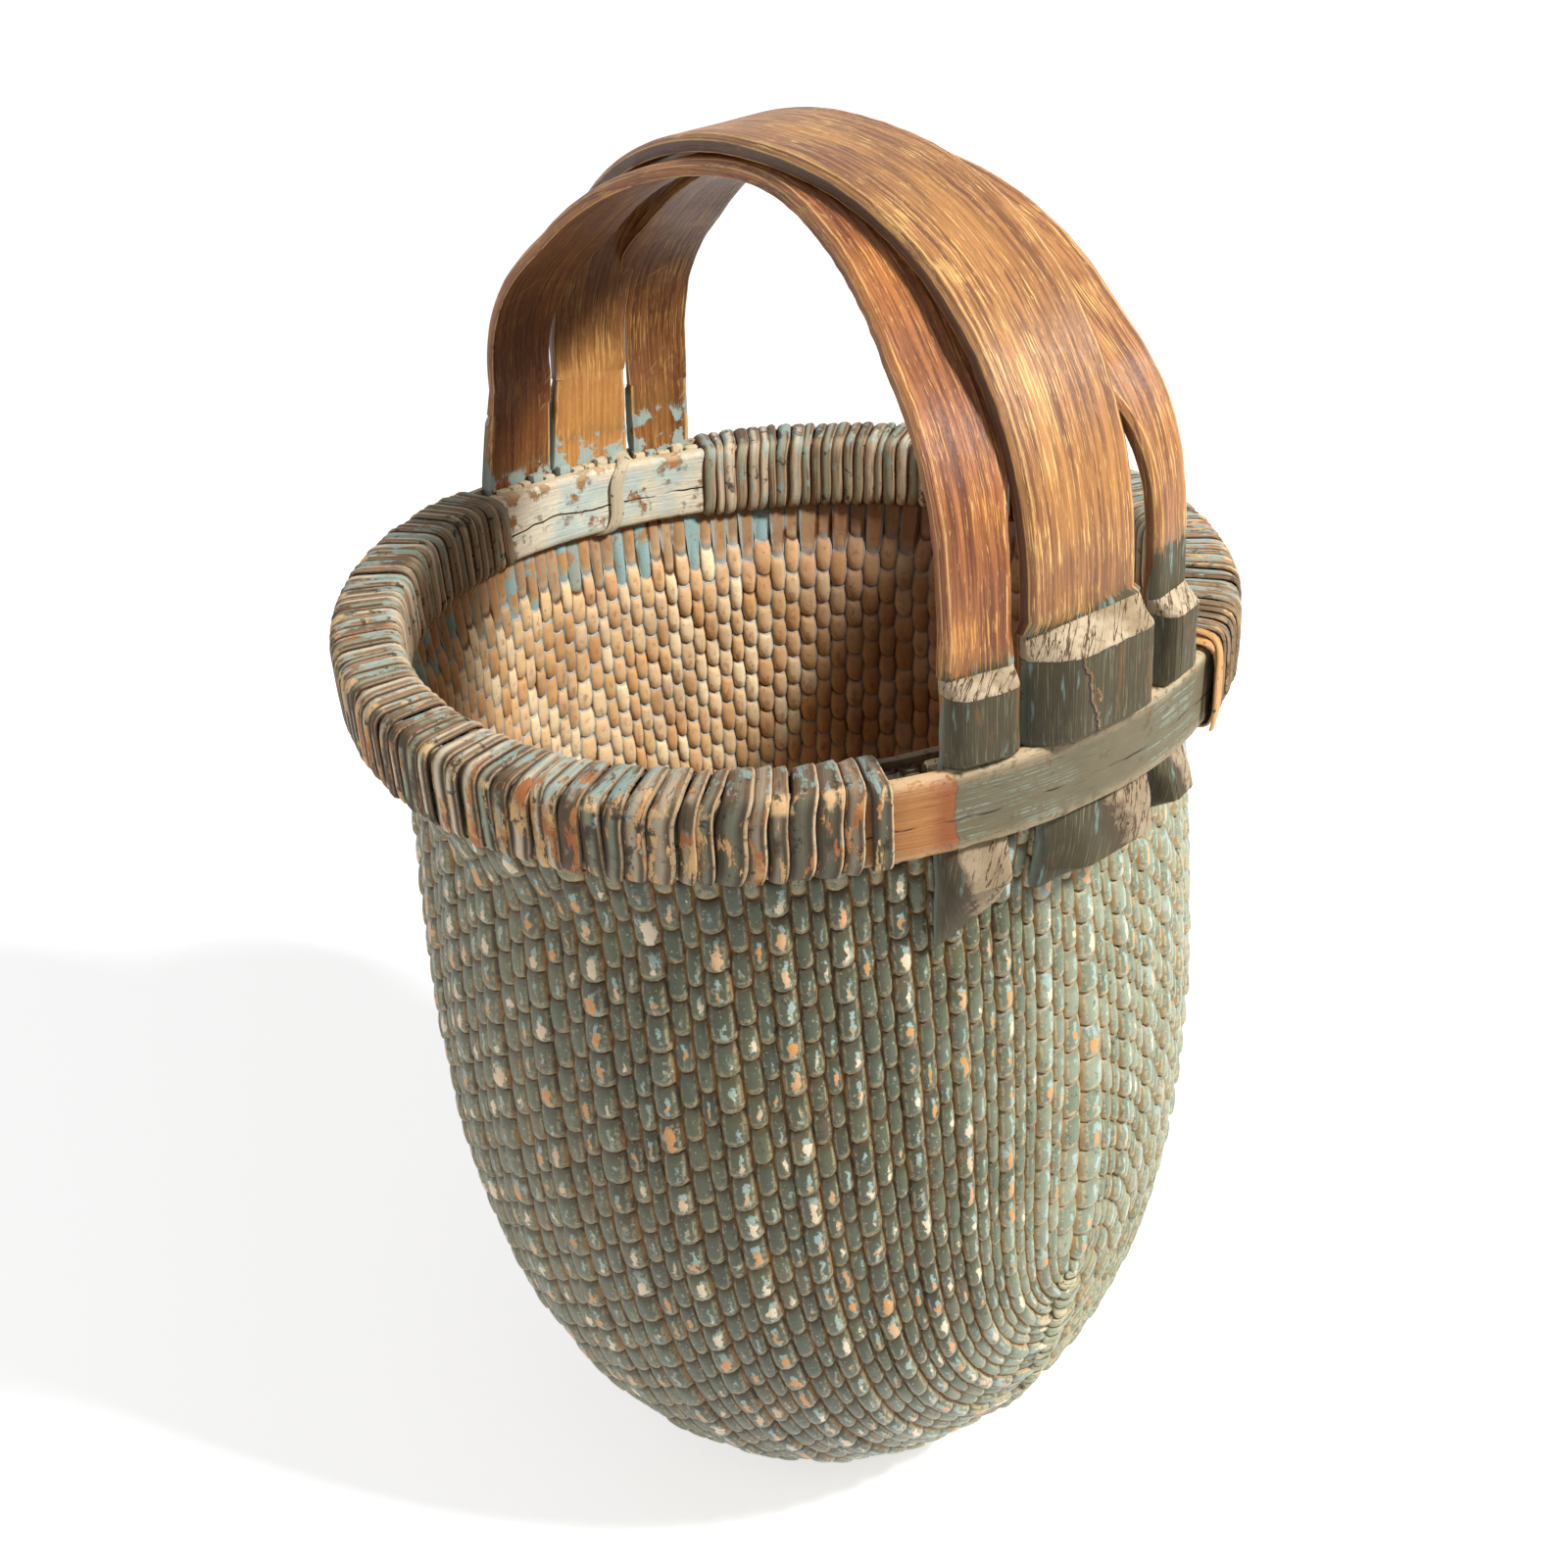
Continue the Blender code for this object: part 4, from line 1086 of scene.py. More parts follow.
@dataclass(frozen=True)
class HandleStrip:
    """A bentwood strip with a notched block at each end."""

    name: str
    rim: Rim
    body: BodyShape
    arch: Arch
    right: StripEnd
    left: StripEnd
    crown_width: float
    crown_offset: float
    crown_blend: float
    thickness: float
    drop: float
    back_rise: float
    front_rise: float
    block_depth: float
    lower_depth: float
    lower_drop: float
    tip_drop: float
    tip_slant: float
    tip_thickness: float
    seed: int
    tone: float = 0.5
    paint_above: float = 0.0
    tuck: float = 0.0
    side_shade: float = 0.0
    steps: int = 150

    def stations(self) -> list[tuple]:
        """Stations of the section down one end.

        Returns:
            For each station its rise, depth, edge depth, whether it is chamfered, slant and cut share.
        """
        half = self.rim.hoop_height / 2
        body, notch = self.thickness, self.rim.notch
        edge = body * self.arch.edge_share
        top, bottom = half + self.rim.bent_gap, -half - self.rim.bent_gap
        found = [
            (self.back_rise, body, edge, False, 0.0, 0.0),
            (self.back_rise - 0.0003, body + 0.0006, edge, True, 0.0, 1.0),
            (self.front_rise + 0.0006, self.block_depth - 0.0008, body, True, 0.0, 1.0),
            (self.front_rise, self.block_depth, body, True, 0.0, 0.8),
            (self.front_rise - 0.0010, self.block_depth + 0.0001, body, True, 0.0, 0.35),
            (self.front_rise - 0.0070, self.block_depth + 0.0001, body, True, 0.0, 0.0),
            (top + self.arch.heel_rise / 2, self.block_depth, body, True, 0.0, 0.0),
            (top, self.block_depth - self.arch.heel_rise / 2, body, True, 0.0, 0.3),
            (top, notch, notch, False, 0.0, 0.0),
            (0.0, notch, notch, False, 0.0, 0.0),
            (bottom, notch, notch, False, 0.0, 0.0),
        ]
        for share in np.linspace(0, 1, 5):
            rise = bottom - (self.lower_drop + bottom) * share
            depth = body + (self.lower_depth - body) * share
            found.append((rise, depth, edge + (body - edge) * share, True, 0.0, 0.7 - 0.1 * share))
        for share in np.linspace(0, 1, 4)[1:]:
            rise = -self.lower_drop - (self.tip_drop - self.lower_drop) * share
            depth = self.lower_depth + (self.tip_thickness - self.lower_depth) * share
            tip_edge = body + (self.tip_thickness - body) * share
            found.append((rise, depth, tip_edge, True, self.tip_slant * share, 0.6 - 0.2 * share))
        return found

    def across_shares(self, width: float, near: float, far: float) -> Array:
        """Places across a strip: four on its inner face, then four on its outer."""
        inner = width * np.array([-3, -1, 1, 3]) / 6
        return np.concatenate([inner, [width / 2, width / 2 - far, near - width / 2, -width / 2]])

    def foot_ring(self, side: int, station: tuple) -> Array:
        """Eight points of one station of an end, bent to the rim's curve.

        Args:
            side: 1 for the right end and -1 for the left.
            station: one of the stations.

        Returns:
            For each point x, y, z, rise, cut share, place across the grain, whether it is on
            the inner face and whether it is on a block.
        """
        rise, depth, edge_depth, chamfered, slant, cut = station
        end = self.right if side > 0 else self.left
        notch = self.rim.hoop_height / 2 + self.rim.bent_gap
        leaned = np.clip((self.arch.base - rise) / (self.arch.base - notch), 0, 1)
        tipped = np.clip((notch - rise) / (2 * notch), 0, 1)
        degrees = end.arch_deg + (end.rim_deg - end.arch_deg) * leaned + (end.tip_deg - end.rim_deg) * tipped
        width = end.arch_width + (end.rim_width - end.arch_width) * leaned
        edges = (end.near_chamfer, end.far_chamfer) if chamfered else (self.arch.edge_round,) * 2
        across = self.across_shares(width, *edges)
        angle = math.radians(degrees)
        angles = angle + side * across / self.rim.radius_at(angle)
        heights = self.rim.level_at(angles) + rise + slant * across / width
        depths = np.array([0, 0, 0, 0, edge_depth, depth, depth, edge_depth])
        heel = self.body.wall_radius(angles, heights) + self.arch.heel_gap
        radius = np.minimum(self.rim.radius_at(angles) + self.rim.strip_in, heel) + depths
        ring = np.stack([radius * np.cos(angles), radius * np.sin(angles), heights], -1)
        lower = np.array([0, 0, 0, 0, 1.1, 1.1, 0.35, 0.2])
        cuts = cut * (lower if rise < 0 else np.array([0, 0, 0, 0, 1, 1, 1, 1]))
        inside = np.array([1, 1, 1, 1, 0, 0, 0, 0])
        marks = [np.full(8, rise), cuts, across + depths, inside, np.full(8, float(chamfered))]
        return np.concatenate([ring, np.stack(marks, -1)], 1)

    def arch_rings(self) -> Array:
        """Rings along the arch, in the CAD part's own formulas but with finer steps.

        Returns:
            Rings of points with the same values as a foot's.
        """
        a, rim = self.arch, self.rim
        turns = np.linspace(0, math.pi, self.steps + 1)
        size = np.abs(np.cos(turns))
        right = np.cos(turns) > 0
        power = np.where(right, a.power_right, a.power_left)
        angle = np.radians(np.where(right, self.right.arch_deg, self.left.arch_deg))
        reach = rim.radius_at(angle) + rim.strip_in
        along = size ** (2 / power)
        blend = self.crown_blend
        spread = (np.hypot(along, blend) - blend) / (math.hypot(1, blend) - blend)
        base = rim.level_at(angle) + a.base
        crown = rim.height + a.crown_rise - a.top_thickness
        across = a.across + self.crown_offset
        x = a.along + (reach * np.cos(angle) - a.along) * along
        y = across + (reach * np.sin(angle) - across) * spread
        z = base + (crown - base) * np.sin(turns) ** (2 / power)
        centres = np.stack([x, y, z], -1)
        travel = unit(np.gradient(centres, axis=0))
        travel[0], travel[-1] = (0, 0, 1), (0, 0, -1)
        sign = np.sign(np.cos(turns))
        ends = np.stack([-np.sin(angle) * sign, np.cos(angle) * sign, np.zeros(len(turns))], -1)
        low = size[:, None] ** 2
        wide = unit(np.array([math.sin(a.turn), math.cos(a.turn), a.tilt]) * (1 - low) + ends * low)
        wide = unit(wide - (wide * travel).sum(1, keepdims=True) * travel)
        out = np.cross(wide, travel)
        under = 1 - smooth((size - a.drop_start) / a.drop_run)
        centres = centres - (self.drop * under)[:, None] * out
        end_width = np.where(right, self.right.arch_width, self.left.arch_width)
        tucked = abs(self.tuck) * (1 - smooth((size - a.tuck_start) / a.tuck_run))
        widths = self.crown_width + (end_width - self.crown_width) * spread + tucked
        places = np.stack([self.across_shares(width, a.edge_round, a.edge_round) for width in widths])
        places = places + np.sign(self.tuck) * tucked[:, None] / 2
        edge = self.thickness * a.edge_share
        depths = np.array([0, 0, 0, 0, edge, self.thickness, self.thickness, edge])
        lift = (depths - places ** 2 / (2 * rim.radius) * low)[..., None]
        rings = centres[:, None] + places[..., None] * wide[:, None] + lift * out[:, None]
        rise = (z - rim.level_at(angle))[:, None]
        inside = np.array([1.0, 1, 1, 1, 0, 0, 0, 0])
        extra = np.stack(np.broadcast_arrays(rise, 0.0, places + depths, inside, 0.0), -1)
        return np.concatenate([rings, extra], -1)

    def build(self, material: Material) -> Shape:
        """Lofts the strip from one tip over the crown to the other, with softened long edges.

        Args:
            material: the finish.

        Returns:
            The object.
        """
        stations = self.stations()
        right = np.stack([self.foot_ring(1, station) for station in reversed(stations)])
        left = np.stack([self.foot_ring(-1, station) for station in stations])
        rings = self.softened(np.concatenate([self.finer(right), self.arch_rings(), self.finer(left)]))
        plain = rings[:, :, :3]
        rise, cut, across, inside, block, edge, on_side = np.moveaxis(rings[:, :, 3:], -1, 0)
        centre = plain.mean(1)
        along = np.concatenate([[0], np.cumsum(np.linalg.norm(np.diff(centre, axis=0), axis=1))])
        rough = 0.00028 * ripple(plain, 0.022, self.seed)
        rough = rough + 0.00035 * cut * ripple(plain, 0.007, self.seed + 7)
        points = plain - unit(plain - centre[:, None, :]) * np.abs(rough)[..., None]
        piece = Piece(self.name + "_wood")
        piece.add(
            points,
            tube_faces(points, closed=False),
            grain_along=along[:, None],
            grain_across=across,
            strip_rise=rise,
            strip_cut=cut,
            strip_inside=inside,
            strip_edge=edge,
            strip_shade=on_side * self.side_shade,
            strip_block=block,
            strip_tone=self.tone,
            strip_paint=self.back_rise + self.paint_above,
        )
        return piece.make(material, "handle_wood", (self.name,), sharp=32)

    def finer(self, rings: Array) -> Array:
        """Extra rings between stations, none further apart than 3 mm, on straight lines.

        Args:
            rings: points with their values, by ring.

        Returns:
            The rings with those between them.
        """
        found = []
        for near, far in zip(rings[:-1], rings[1:]):
            length = np.linalg.norm((far - near)[:, :3], axis=1).max()
            count = max(1, int(math.ceil(length / 0.003)))
            shares = np.linspace(0, 1, count, endpoint=False)[:, None, None]
            found.append(near + (far - near) * shares)
        return np.concatenate(found + [rings[-1:]])

    def softened(self, rings: Array) -> Array:
        """Each corner of the section rounded by a short quadratic arc, and each side given more points.

        A corner P between A and B becomes (1-t)^2 A + 2t(1-t) P + t^2 B.

        Args:
            rings: points with their values, by ring.

        Returns:
            The rounded rings, each point with two more values: how near it is to a
            long edge, and whether it is on a side face.
        """
        soft = 0.0009 + 0.0026 * rings[:, 0, 7:8]
        before, after = np.roll(rings, 1, 1), np.roll(rings, -1, 1)
        side_ends = ((3, 1.0), (4, 0.0), (7, 1.0), (0, 0.0))
        columns = []
        for corner in range(rings.shape[1]):
            point = rings[:, corner]
            back, ahead = before[:, corner] - point, after[:, corner] - point
            back_length = np.linalg.norm(back[:, :3], axis=1, keepdims=True)
            ahead_length = np.linalg.norm(ahead[:, :3], axis=1, keepdims=True)
            start = point + back * np.minimum(soft / back_length, 0.4)
            end = point + ahead * np.minimum(soft / ahead_length, 0.4)
            true_corner = corner in (0, 3, 4, 5, 6, 7)
            for t in (0.0, 0.5, 1.0) if true_corner else (0.5,):
                place = (1 - t) ** 2 * start + 2 * t * (1 - t) * point + t * t * end
                more = [float(true_corner and t == 0.5), float((corner, t) in side_ends)]
                columns.append(np.concatenate([place, np.tile(more, (len(rings), 1))], 1))
            if corner in (0, 1, 2, 5):
                following = rings[:, (corner + 1) % rings.shape[1]]
                for share in (0.33, 0.67) if corner != 5 else (0.2, 0.4, 0.6, 0.8):
                    place = point + (following - point) * share
                    columns.append(np.concatenate([place, np.zeros((len(rings), 2))], 1))
        return np.stack(columns, 1)


# Finishes


class Value:
    """A number that changes over the surface: a node socket with arithmetic."""

    def __init__(self, sketch: "NodeSketch", socket: Socket) -> None:
        """Keeps the socket and the sketch that adds nodes behind it."""
        self.sketch, self.socket = sketch, socket

    def __add__(self, other: "Value | float") -> "Value":
        """Sum."""
        return self.sketch.math("ADD", self, other)

    def __sub__(self, other: "Value | float") -> "Value":
        """Difference."""
        return self.sketch.math("SUBTRACT", self, other)

    def __rsub__(self, other: float) -> "Value":
        """Difference from a plain number."""
        return self.sketch.math("SUBTRACT", other, self)

    def __mul__(self, other: "Value | float") -> "Value":
        """Product."""
        return self.sketch.math("MULTIPLY", self, other)

    def __abs__(self) -> "Value":
        """Distance from 0."""
        return self.sketch.math("ABSOLUTE", self)

    def step(self, low: float, high: float) -> "Value":
        """A smooth mask.

        Args:
            low: where it is 0.
            high: where it is 1.

        Returns:
            The mask.
        """
        made = self.sketch.node("ShaderNodeMapRange", interpolation_type="SMOOTHSTEP", clamp=True)
        ends = (low, high, 0.0, 1.0) if low <= high else (high, low, 1.0, 0.0)
        for socket, value in zip(made.inputs, (self, *ends)):
            self.sketch.feed(socket, value)
        return Value(self.sketch, made.outputs[0])


class NodeSketch:
    """Short typed calls that add shader nodes to one tree."""

    def __init__(self, tree: bpy.types.NodeTree) -> None:
        """Keeps the tree that nodes are added to."""
        self.tree = tree

    def node(self, kind: str, **settings: object) -> bpy.types.Node:
        """A new node.

        Args:
            kind: Blender's name for the node's type.
            settings: properties to set on it.

        Returns:
            The node.
        """
        made = self.tree.nodes.new(kind)
        for key, value in settings.items():
            setattr(made, key, value)
        return made

    def feed(self, socket: Socket, value: object) -> None:
        """Links a socket or value into a socket, or sets it.

        Args:
            socket: where it goes.
            value: another socket, a Value, a number, or a colour of three screen values.
        """
        if isinstance(value, Value):
            value = value.socket
        if isinstance(value, Socket):
            self.tree.links.new(value, socket)
        else:
            socket.default_value = srgb(*value) if isinstance(value, tuple) else value

    def fill(self, sockets: object, values: dict) -> None:
        """Feeds several sockets by name."""
        for key, value in values.items():
            self.feed(sockets[key], value)

    def math(self, operation: str, first: object, second: object = 0.0) -> Value:
        """One arithmetic step.

        Args:
            operation: Blender's name for it.
            first, second: what it works on.

        Returns:
            The outcome.
        """
        made = self.node("ShaderNodeMath", operation=operation)
        self.feed(made.inputs[0], first)
        self.feed(made.inputs[1], second)
        return Value(self, made.outputs[0])

    def most(self, first: object, second: object) -> Value:
        """The larger of two values."""
        return self.math("MAXIMUM", first, second)

    def mix(self, share: object, first: object, second: object) -> Socket:
        """A blend of two colours.

        Args:
            share: 0 gives the first and 1 the second.
            first, second: colour sockets, or three screen values.

        Returns:
            The blend's socket.
        """
        made = self.node("ShaderNodeMix", data_type="RGBA")
        for number, value in zip((0, 6, 7), (share, first, second)):
            self.feed(made.inputs[number], value)
        return made.outputs[2]

    def noise(self, vector: object, scale: float, detail: float = 3.0, roughness: float = 0.55) -> Value:
        """Cloudy noise from 0 to 1.

        Args:
            vector: places.
            scale: clouds in a metre.
            detail: how many finer layers are added.
            roughness: how strong those are.

        Returns:
            The noise.
        """
        made = self.node("ShaderNodeTexNoise")
        wanted = {"Vector": vector, "Scale": scale, "Detail": detail, "Roughness": roughness}
        self.fill(made.inputs, wanted)
        return Value(self, made.outputs[0])

    def mark(self, name: str) -> Value:
        """A value kept on the mesh."""
        return Value(self, self.node("ShaderNodeAttribute", attribute_name=name).outputs["Fac"])

    def place(self) -> Socket:
        """Object coordinates, in metres."""
        return self.node("ShaderNodeTexCoord").outputs["Object"]

    def split(self, vector: Socket) -> tuple[Value, ...]:
        """Takes a vector apart.

        Args:
            vector: its socket.

        Returns:
            Its x, y and z.
        """
        made = self.node("ShaderNodeSeparateXYZ")
        self.feed(made.inputs[0], vector)
        return tuple(Value(self, socket) for socket in made.outputs)

    def vector(self, x: object, y: object, z: object) -> Socket:
        """A vector from three values.

        Args:
            x, y, z: its parts.

        Returns:
            Its socket.
        """
        made = self.node("ShaderNodeCombineXYZ")
        for socket, value in zip(made.inputs, (x, y, z)):
            self.feed(socket, value)
        return made.outputs[0]

    def moved(self, place: Socket, shift: object, operation: str = "ADD") -> Socket:
        """Places moved by a vector, or scaled by a number.

        Args:
            place: the places.
            shift: the vector or number.
            operation: ADD or SCALE.

        Returns:
            The new places.
        """
        made = self.node("ShaderNodeVectorMath", operation=operation)
        self.feed(made.inputs[0], place)
        self.feed(made.inputs[1 if operation == "ADD" else 3], shift)
        return made.outputs[0]


def value_group(
    name: str, inputs: dict[str, float], outputs: tuple[str, ...]
) -> tuple[NodeSketch, dict, dict]:
    """A new shader node group with named value inputs and outputs.

    Args:
        name: the group's name.
        inputs: names and usual values.
        outputs: names.

    Returns:
        A sketch of its tree, its inputs as values and its output sockets, by name.
    """
    tree = bpy.data.node_groups.new(name, "ShaderNodeTree")
    for key, value in inputs.items():
        tree.interface.new_socket(key, in_out="INPUT", socket_type="NodeSocketFloat").default_value = value
    for key in outputs:
        tree.interface.new_socket(key, in_out="OUTPUT", socket_type="NodeSocketFloat")
    s = NodeSketch(tree)
    given, sent = s.node("NodeGroupInput"), s.node("NodeGroupOutput")
    values = {key: Value(s, given.outputs[key]) for key in inputs}
    return s, values, {key: sent.inputs[key] for key in outputs}


def grain_group() -> bpy.types.NodeTree:
    """Wood grain: long bent streaks that follow the piece, with pores and a height for bump.

    Returns:
        The group.
    """
    inputs = {"Along": 0, "Across": 0, "Length": 0.05, "Width": 0.002}
    s, given, sent = value_group("wood_grain", inputs, ("Streaks", "Pores", "Height"))
    far = s.math("DIVIDE", given["Along"], given["Length"])
    wide = s.math("DIVIDE", given["Across"], given["Width"])
    bend = s.noise(s.vector(far, wide, 0.0), 0.35, 2) * 1.6 + wide
    streaks = s.noise(s.vector(far, bend, 0.0), 1.0, 4, 0.6)
    pores = s.noise(s.vector(far * 3.0, wide * 4.0, 2.0), 1.3, 3, 0.65)
    s.fill(sent, {"Streaks": streaks, "Pores": pores, "Height": streaks * 0.6 + pores * 0.4})
    return s.tree


def chip_group() -> bpy.types.NodeTree:
    """Worn paint: 1 where it has gone, more of it where Wear is high, and the rim round each chip.

    Returns:
        The group.
    """
    s, given, sent = value_group("paint_chips", {"Wear": 0.3, "Scale": 90.0}, ("Bare", "Rim"))
    level = s.noise(s.moved(s.place(), given["Scale"], "SCALE"), 1.0, 6, 0.62) + given["Wear"] * 0.55 - 0.28
    s.fill(sent, {"Bare": level.step(0.5, 0.53), "Rim": abs(level - 0.5).step(0.035, 0.0)})
    return s.tree


def bead_group() -> bpy.types.NodeTree:
    """Places on a bead: worn crown, long streak, lip, grooves, pale outline and painted shade on the upper
    end.

    Returns:
        The group.
    """
    outputs = ("Crown", "Streak", "Lip", "Groove", "Outline", "UpperShade")
    s, given, sent = value_group("bead_places", {"Across": 0, "Along": 0.5}, outputs)
    wide, along = abs(given["Across"]), given["Along"]
    off, low, across = abs(along - 0.5), (along - 0.56) * 2.1, wide * 1.6
    sides = wide.step(0.5, 0.66) * wide.step(0.84, 0.72)
    lower = along.step(0.74, 0.82) * along.step(0.94, 0.86)
    places = {
        "Crown": s.math("SQRT", across * across + low * low).step(1.0, 0.15),
        "Streak": wide.step(0.34, 0.1) * off.step(0.46, 0.2),
        "Lip": along.step(0.86, 0.97),
        "Groove": s.most(wide.step(0.72, 0.96), off.step(0.42, 0.5)),
        "Outline": s.most(sides, lower),
        # painted shade: the bead's upper end, under the lip of the bead above
        "UpperShade": along.step(0.3, 0.0),
    }
    s.fill(sent, places)
    return s.tree


@dataclass(frozen=True)
class Look:
    """What a finish feeds into its shader."""

    color: Socket
    rough: Value
    height: Value
    distance: float = 0.0005
    strength: float = 0.7
    shine: float = 0.28


@dataclass(frozen=True)
class Finish:
    """Base of all finishes: a Principled material that is dressed by the finish's own look."""

    name: str
    groups: dict

    def look(self, s: NodeSketch) -> Look:
        """Colour, roughness and bump, given by each finish."""
        raise NotImplementedError

    def build(self) -> Material:
        """Makes the material.

        Returns:
            The material, with its look linked to the shader.
        """
        material = bpy.data.materials.new(self.name)
        material.use_nodes = True
        s = NodeSketch(material.node_tree)
        shader = material.node_tree.nodes["Principled BSDF"]
        look = self.look(s)
        shader.inputs["Specular IOR Level"].default_value = look.shine
        bump = s.node("ShaderNodeBump")
        s.fill(bump.inputs, {"Height": look.height, "Distance": look.distance, "Strength": look.strength})
        s.fill(shader.inputs, {"Base Color": look.color, "Roughness": look.rough, "Normal": bump.outputs[0]})
        return material

    def use(self, s: NodeSketch, group: str, **values: object) -> dict[str, Value]:
        """Places a shared node group.

        Args:
            s: sketch of the tree that it goes into.
            group: which group.
            values: what feeds its inputs.

        Returns:
            Its outputs by name.
        """
        made = s.node("ShaderNodeGroup", node_tree=self.groups[group])
        s.fill(made.inputs, values)
        return {socket.name: Value(s, socket) for socket in made.outputs}

    def grain(self, s: NodeSketch, length: float, width: float) -> dict[str, Value]:
        """Wood grain along the piece's own marks."""
        places = {"Along": s.mark("grain_along"), "Across": s.mark("grain_across")}
        return self.use(s, "grain", **places, Length=length, Width=width)


@dataclass(frozen=True)
class PaintedWillow(Finish):
    """Outside of the weave: sage paint over blue over bare willow, worn on the crowns."""

    def look(self, s: NodeSketch) -> Look:
        """Olive beads, paler towards the right end and lower down, with off-centre blue and cream glints.

        Args:
            s: sketch of the material's tree.

        Returns:
            What feeds the shader.
        """
        place = s.place()
        u, v = s.mark("bead_u"), s.mark("bead_v")
        tone, wear, proud = s.mark("bead_tone"), s.mark("bead_wear"), s.mark("bead_proud")
        cloud, spread = s.noise(place, 14, 3), s.noise(place, 60, 4, 0.6)
        fine, ragged = s.noise(place, 420, 4, 0.65), s.noise(place, 240, 4, 0.65)
        bead = self.use(s, "bead", Across=u, Along=v)
        aside = u - tone * 0.34 + ragged * 1.4 - 0.72
        skewed = self.use(s, "bead", Across=aside, Along=v + spread * 0.9 - 0.47)
        x, y, z = s.split(place)
        # Mask rising towards the right end and lower down: there paint, grooves and outlines turn paler and
        # the upper-end shade weaker.
        right_end = (x * 1.2 + y * 3.0 - z * 0.4 + cloud * 0.5).step(0.12, 0.38)
        left = x.step(0.10, 0.02)
        color = s.mix(tone, (54, 58, 37), (92, 96, 66))
        color = s.mix(cloud.step(0.35, 0.7), color, (74, 82, 64))
        color = s.mix(left * 0.4, color, (134, 132, 102))
        color = s.mix(right_end, color, s.mix(tone, (110, 122, 98), (146, 154, 130)))
        brown = s.noise(place, 34, 5, 0.7).step(0.54, 0.66) * (0.5 - right_end * 0.3)
        color = s.mix(brown, color, (112, 86, 56))
        glint = skewed["Streak"] * 0.32 + s.noise(place, 130, 4, 0.6) * 0.9
        glint = glint + wear * 0.3 + proud * 0.16 + right_end * 0.08
        color = s.mix(glint.step(0.95, 1.06) * 0.75, color, s.mix(fine, (124, 158, 154), (198, 214, 204)))
        groove = s.mix(right_end, s.mix(spread.step(0.42, 0.58), (78, 54, 34), (158, 118, 72)), (190, 152, 104))
        color = s.mix(bead["Groove"] * spread.step(0.2, 0.5), color, groove)
        color = s.mix(bead["Lip"] * fine.step(0.2, 0.55) * 0.7, color, (186, 164, 122))
        color = s.mix(bead["Outline"] * fine.step(0.42, 0.56) * (right_end * 0.5 + 0.45), color, (190, 170, 128))
        worn = skewed["Crown"] * 0.55 + s.noise(place, 170, 4, 0.6) + wear * 0.5 + spread * 0.6 + proud * 0.18
        worn = worn + v * 0.12 + left * 0.04 - 0.16
        color = s.mix(worn.step(1.46, 1.6) * 0.35, color, (150, 150, 120))
        bare = worn.step(1.61, 1.67)
        color = s.mix(bare, color, s.mix(tone.step(0.3, 0.8), (206, 146, 84), (226, 206, 176)))
        color = s.mix(s.noise(place, 230, 5, 0.7).step(0.6, 0.67) * 0.7, color, (44, 42, 30))
        color = s.mix(s.noise(place, 560, 3).step(0.63, 0.7) * 0.5, color, (200, 196, 168))
        # Painted shade on each bead's upper end, under the lip of the bead above; weaker towards the right
        # end.
        color = s.mix(bead["UpperShade"] * (0.7 - right_end * 0.45), color, (64, 48, 30))
        return Look(color, fine * 0.3 + bead["Groove"] * 0.25 + 0.24, fine - bare * 0.6, shine=0.42)


@dataclass(frozen=True)
class BareWillow(Finish):
    """Inside of the weave: bare golden-brown willow with pale blue in the gaps."""

    def look(self, s: NodeSketch) -> Look:
        """Mottled beads, browner long ends under the rim, pale gaps here and there, and a painted shadow over
        the right side.

        Args:
            s: sketch of the material's tree.

        Returns:
            What feeds the shader.
        """
        place = s.place()
        bead = self.use(s, "bead", Across=s.mark("bead_u"), Along=s.mark("bead_v"))
        tone, wear, first = s.mark("bead_tone"), s.mark("bead_wear"), s.mark("bead_first")
        fine, cloud = s.noise(place, 420, 4, 0.65), s.noise(place, 30, 3)
        color = s.mix(tone, (222, 170, 116), (255, 230, 184))
        color = s.mix(wear.step(0.66, 0.8) * 0.5, color, (222, 172, 106))
        color = s.mix(cloud.step(0.45, 0.7) * 0.6, color, (172, 126, 84))
        color = s.mix(first * (tone * 0.5 + 0.25), color, (142, 96, 56))
        smudge = s.noise(place, 150, 4, 0.6).step(0.5, 0.62) * bead["Crown"]
        color = s.mix(smudge * 0.6, color, s.mix(wear, (150, 92, 60), (180, 122, 86)))
        color = s.mix(bead["Lip"] * 0.5, color, (232, 200, 156))
        color = s.mix(bead["Groove"], color, (112, 76, 46))
        gap = bead["Groove"] * s.noise(place, 45, 3).step(0.36, 0.5) * 0.85
        color = s.mix(gap, color, (188, 194, 184))
        blue = first * wear.step(0.82, 0.88) * s.noise(place, 90, 4).step(0.4, 0.5)
        color = s.mix(blue, color, (154, 184, 180))
        color = s.mix(fine.step(0.6, 0.72) * 0.6, color, (112, 74, 44))
        x, y, _ = s.split(place)
        # Painted shadow: the lining darkens towards its right side, where the rim and handle shade it.
        color = s.mix((x + y).step(-0.06, 0.02) * 0.66, color, (100, 52, 27))
        return Look(color, fine * 0.25 + 0.42, fine, 0.0004)


@dataclass(frozen=True)
class RodTops(Finish):
    """Cut rod ends: cream wood, some still pale blue, darker lower down."""

    def look(self, s: NodeSketch) -> Look:
        """Cream or blue tops, with painted shade where they go down between the hoops.

        Args:
            s: sketch of the material's tree.

        Returns:
            What feeds the shader.
        """
        fine = s.noise(s.place(), 380, 4, 0.65)
        color = s.mix(s.mark("end_tone").step(0.25, 0.4), (160, 176, 166), (214, 194, 158))
        color = s.mix(fine.step(0.56, 0.66), color, (120, 92, 62))
        # Painted shade: the pegs turn brown lower down, in the slot between the hoops.
        color = s.mix(s.mark("end_level").step(0.75, 0.3), color, (74, 54, 36))
        return Look(color, fine * 0.25 + 0.5, fine)


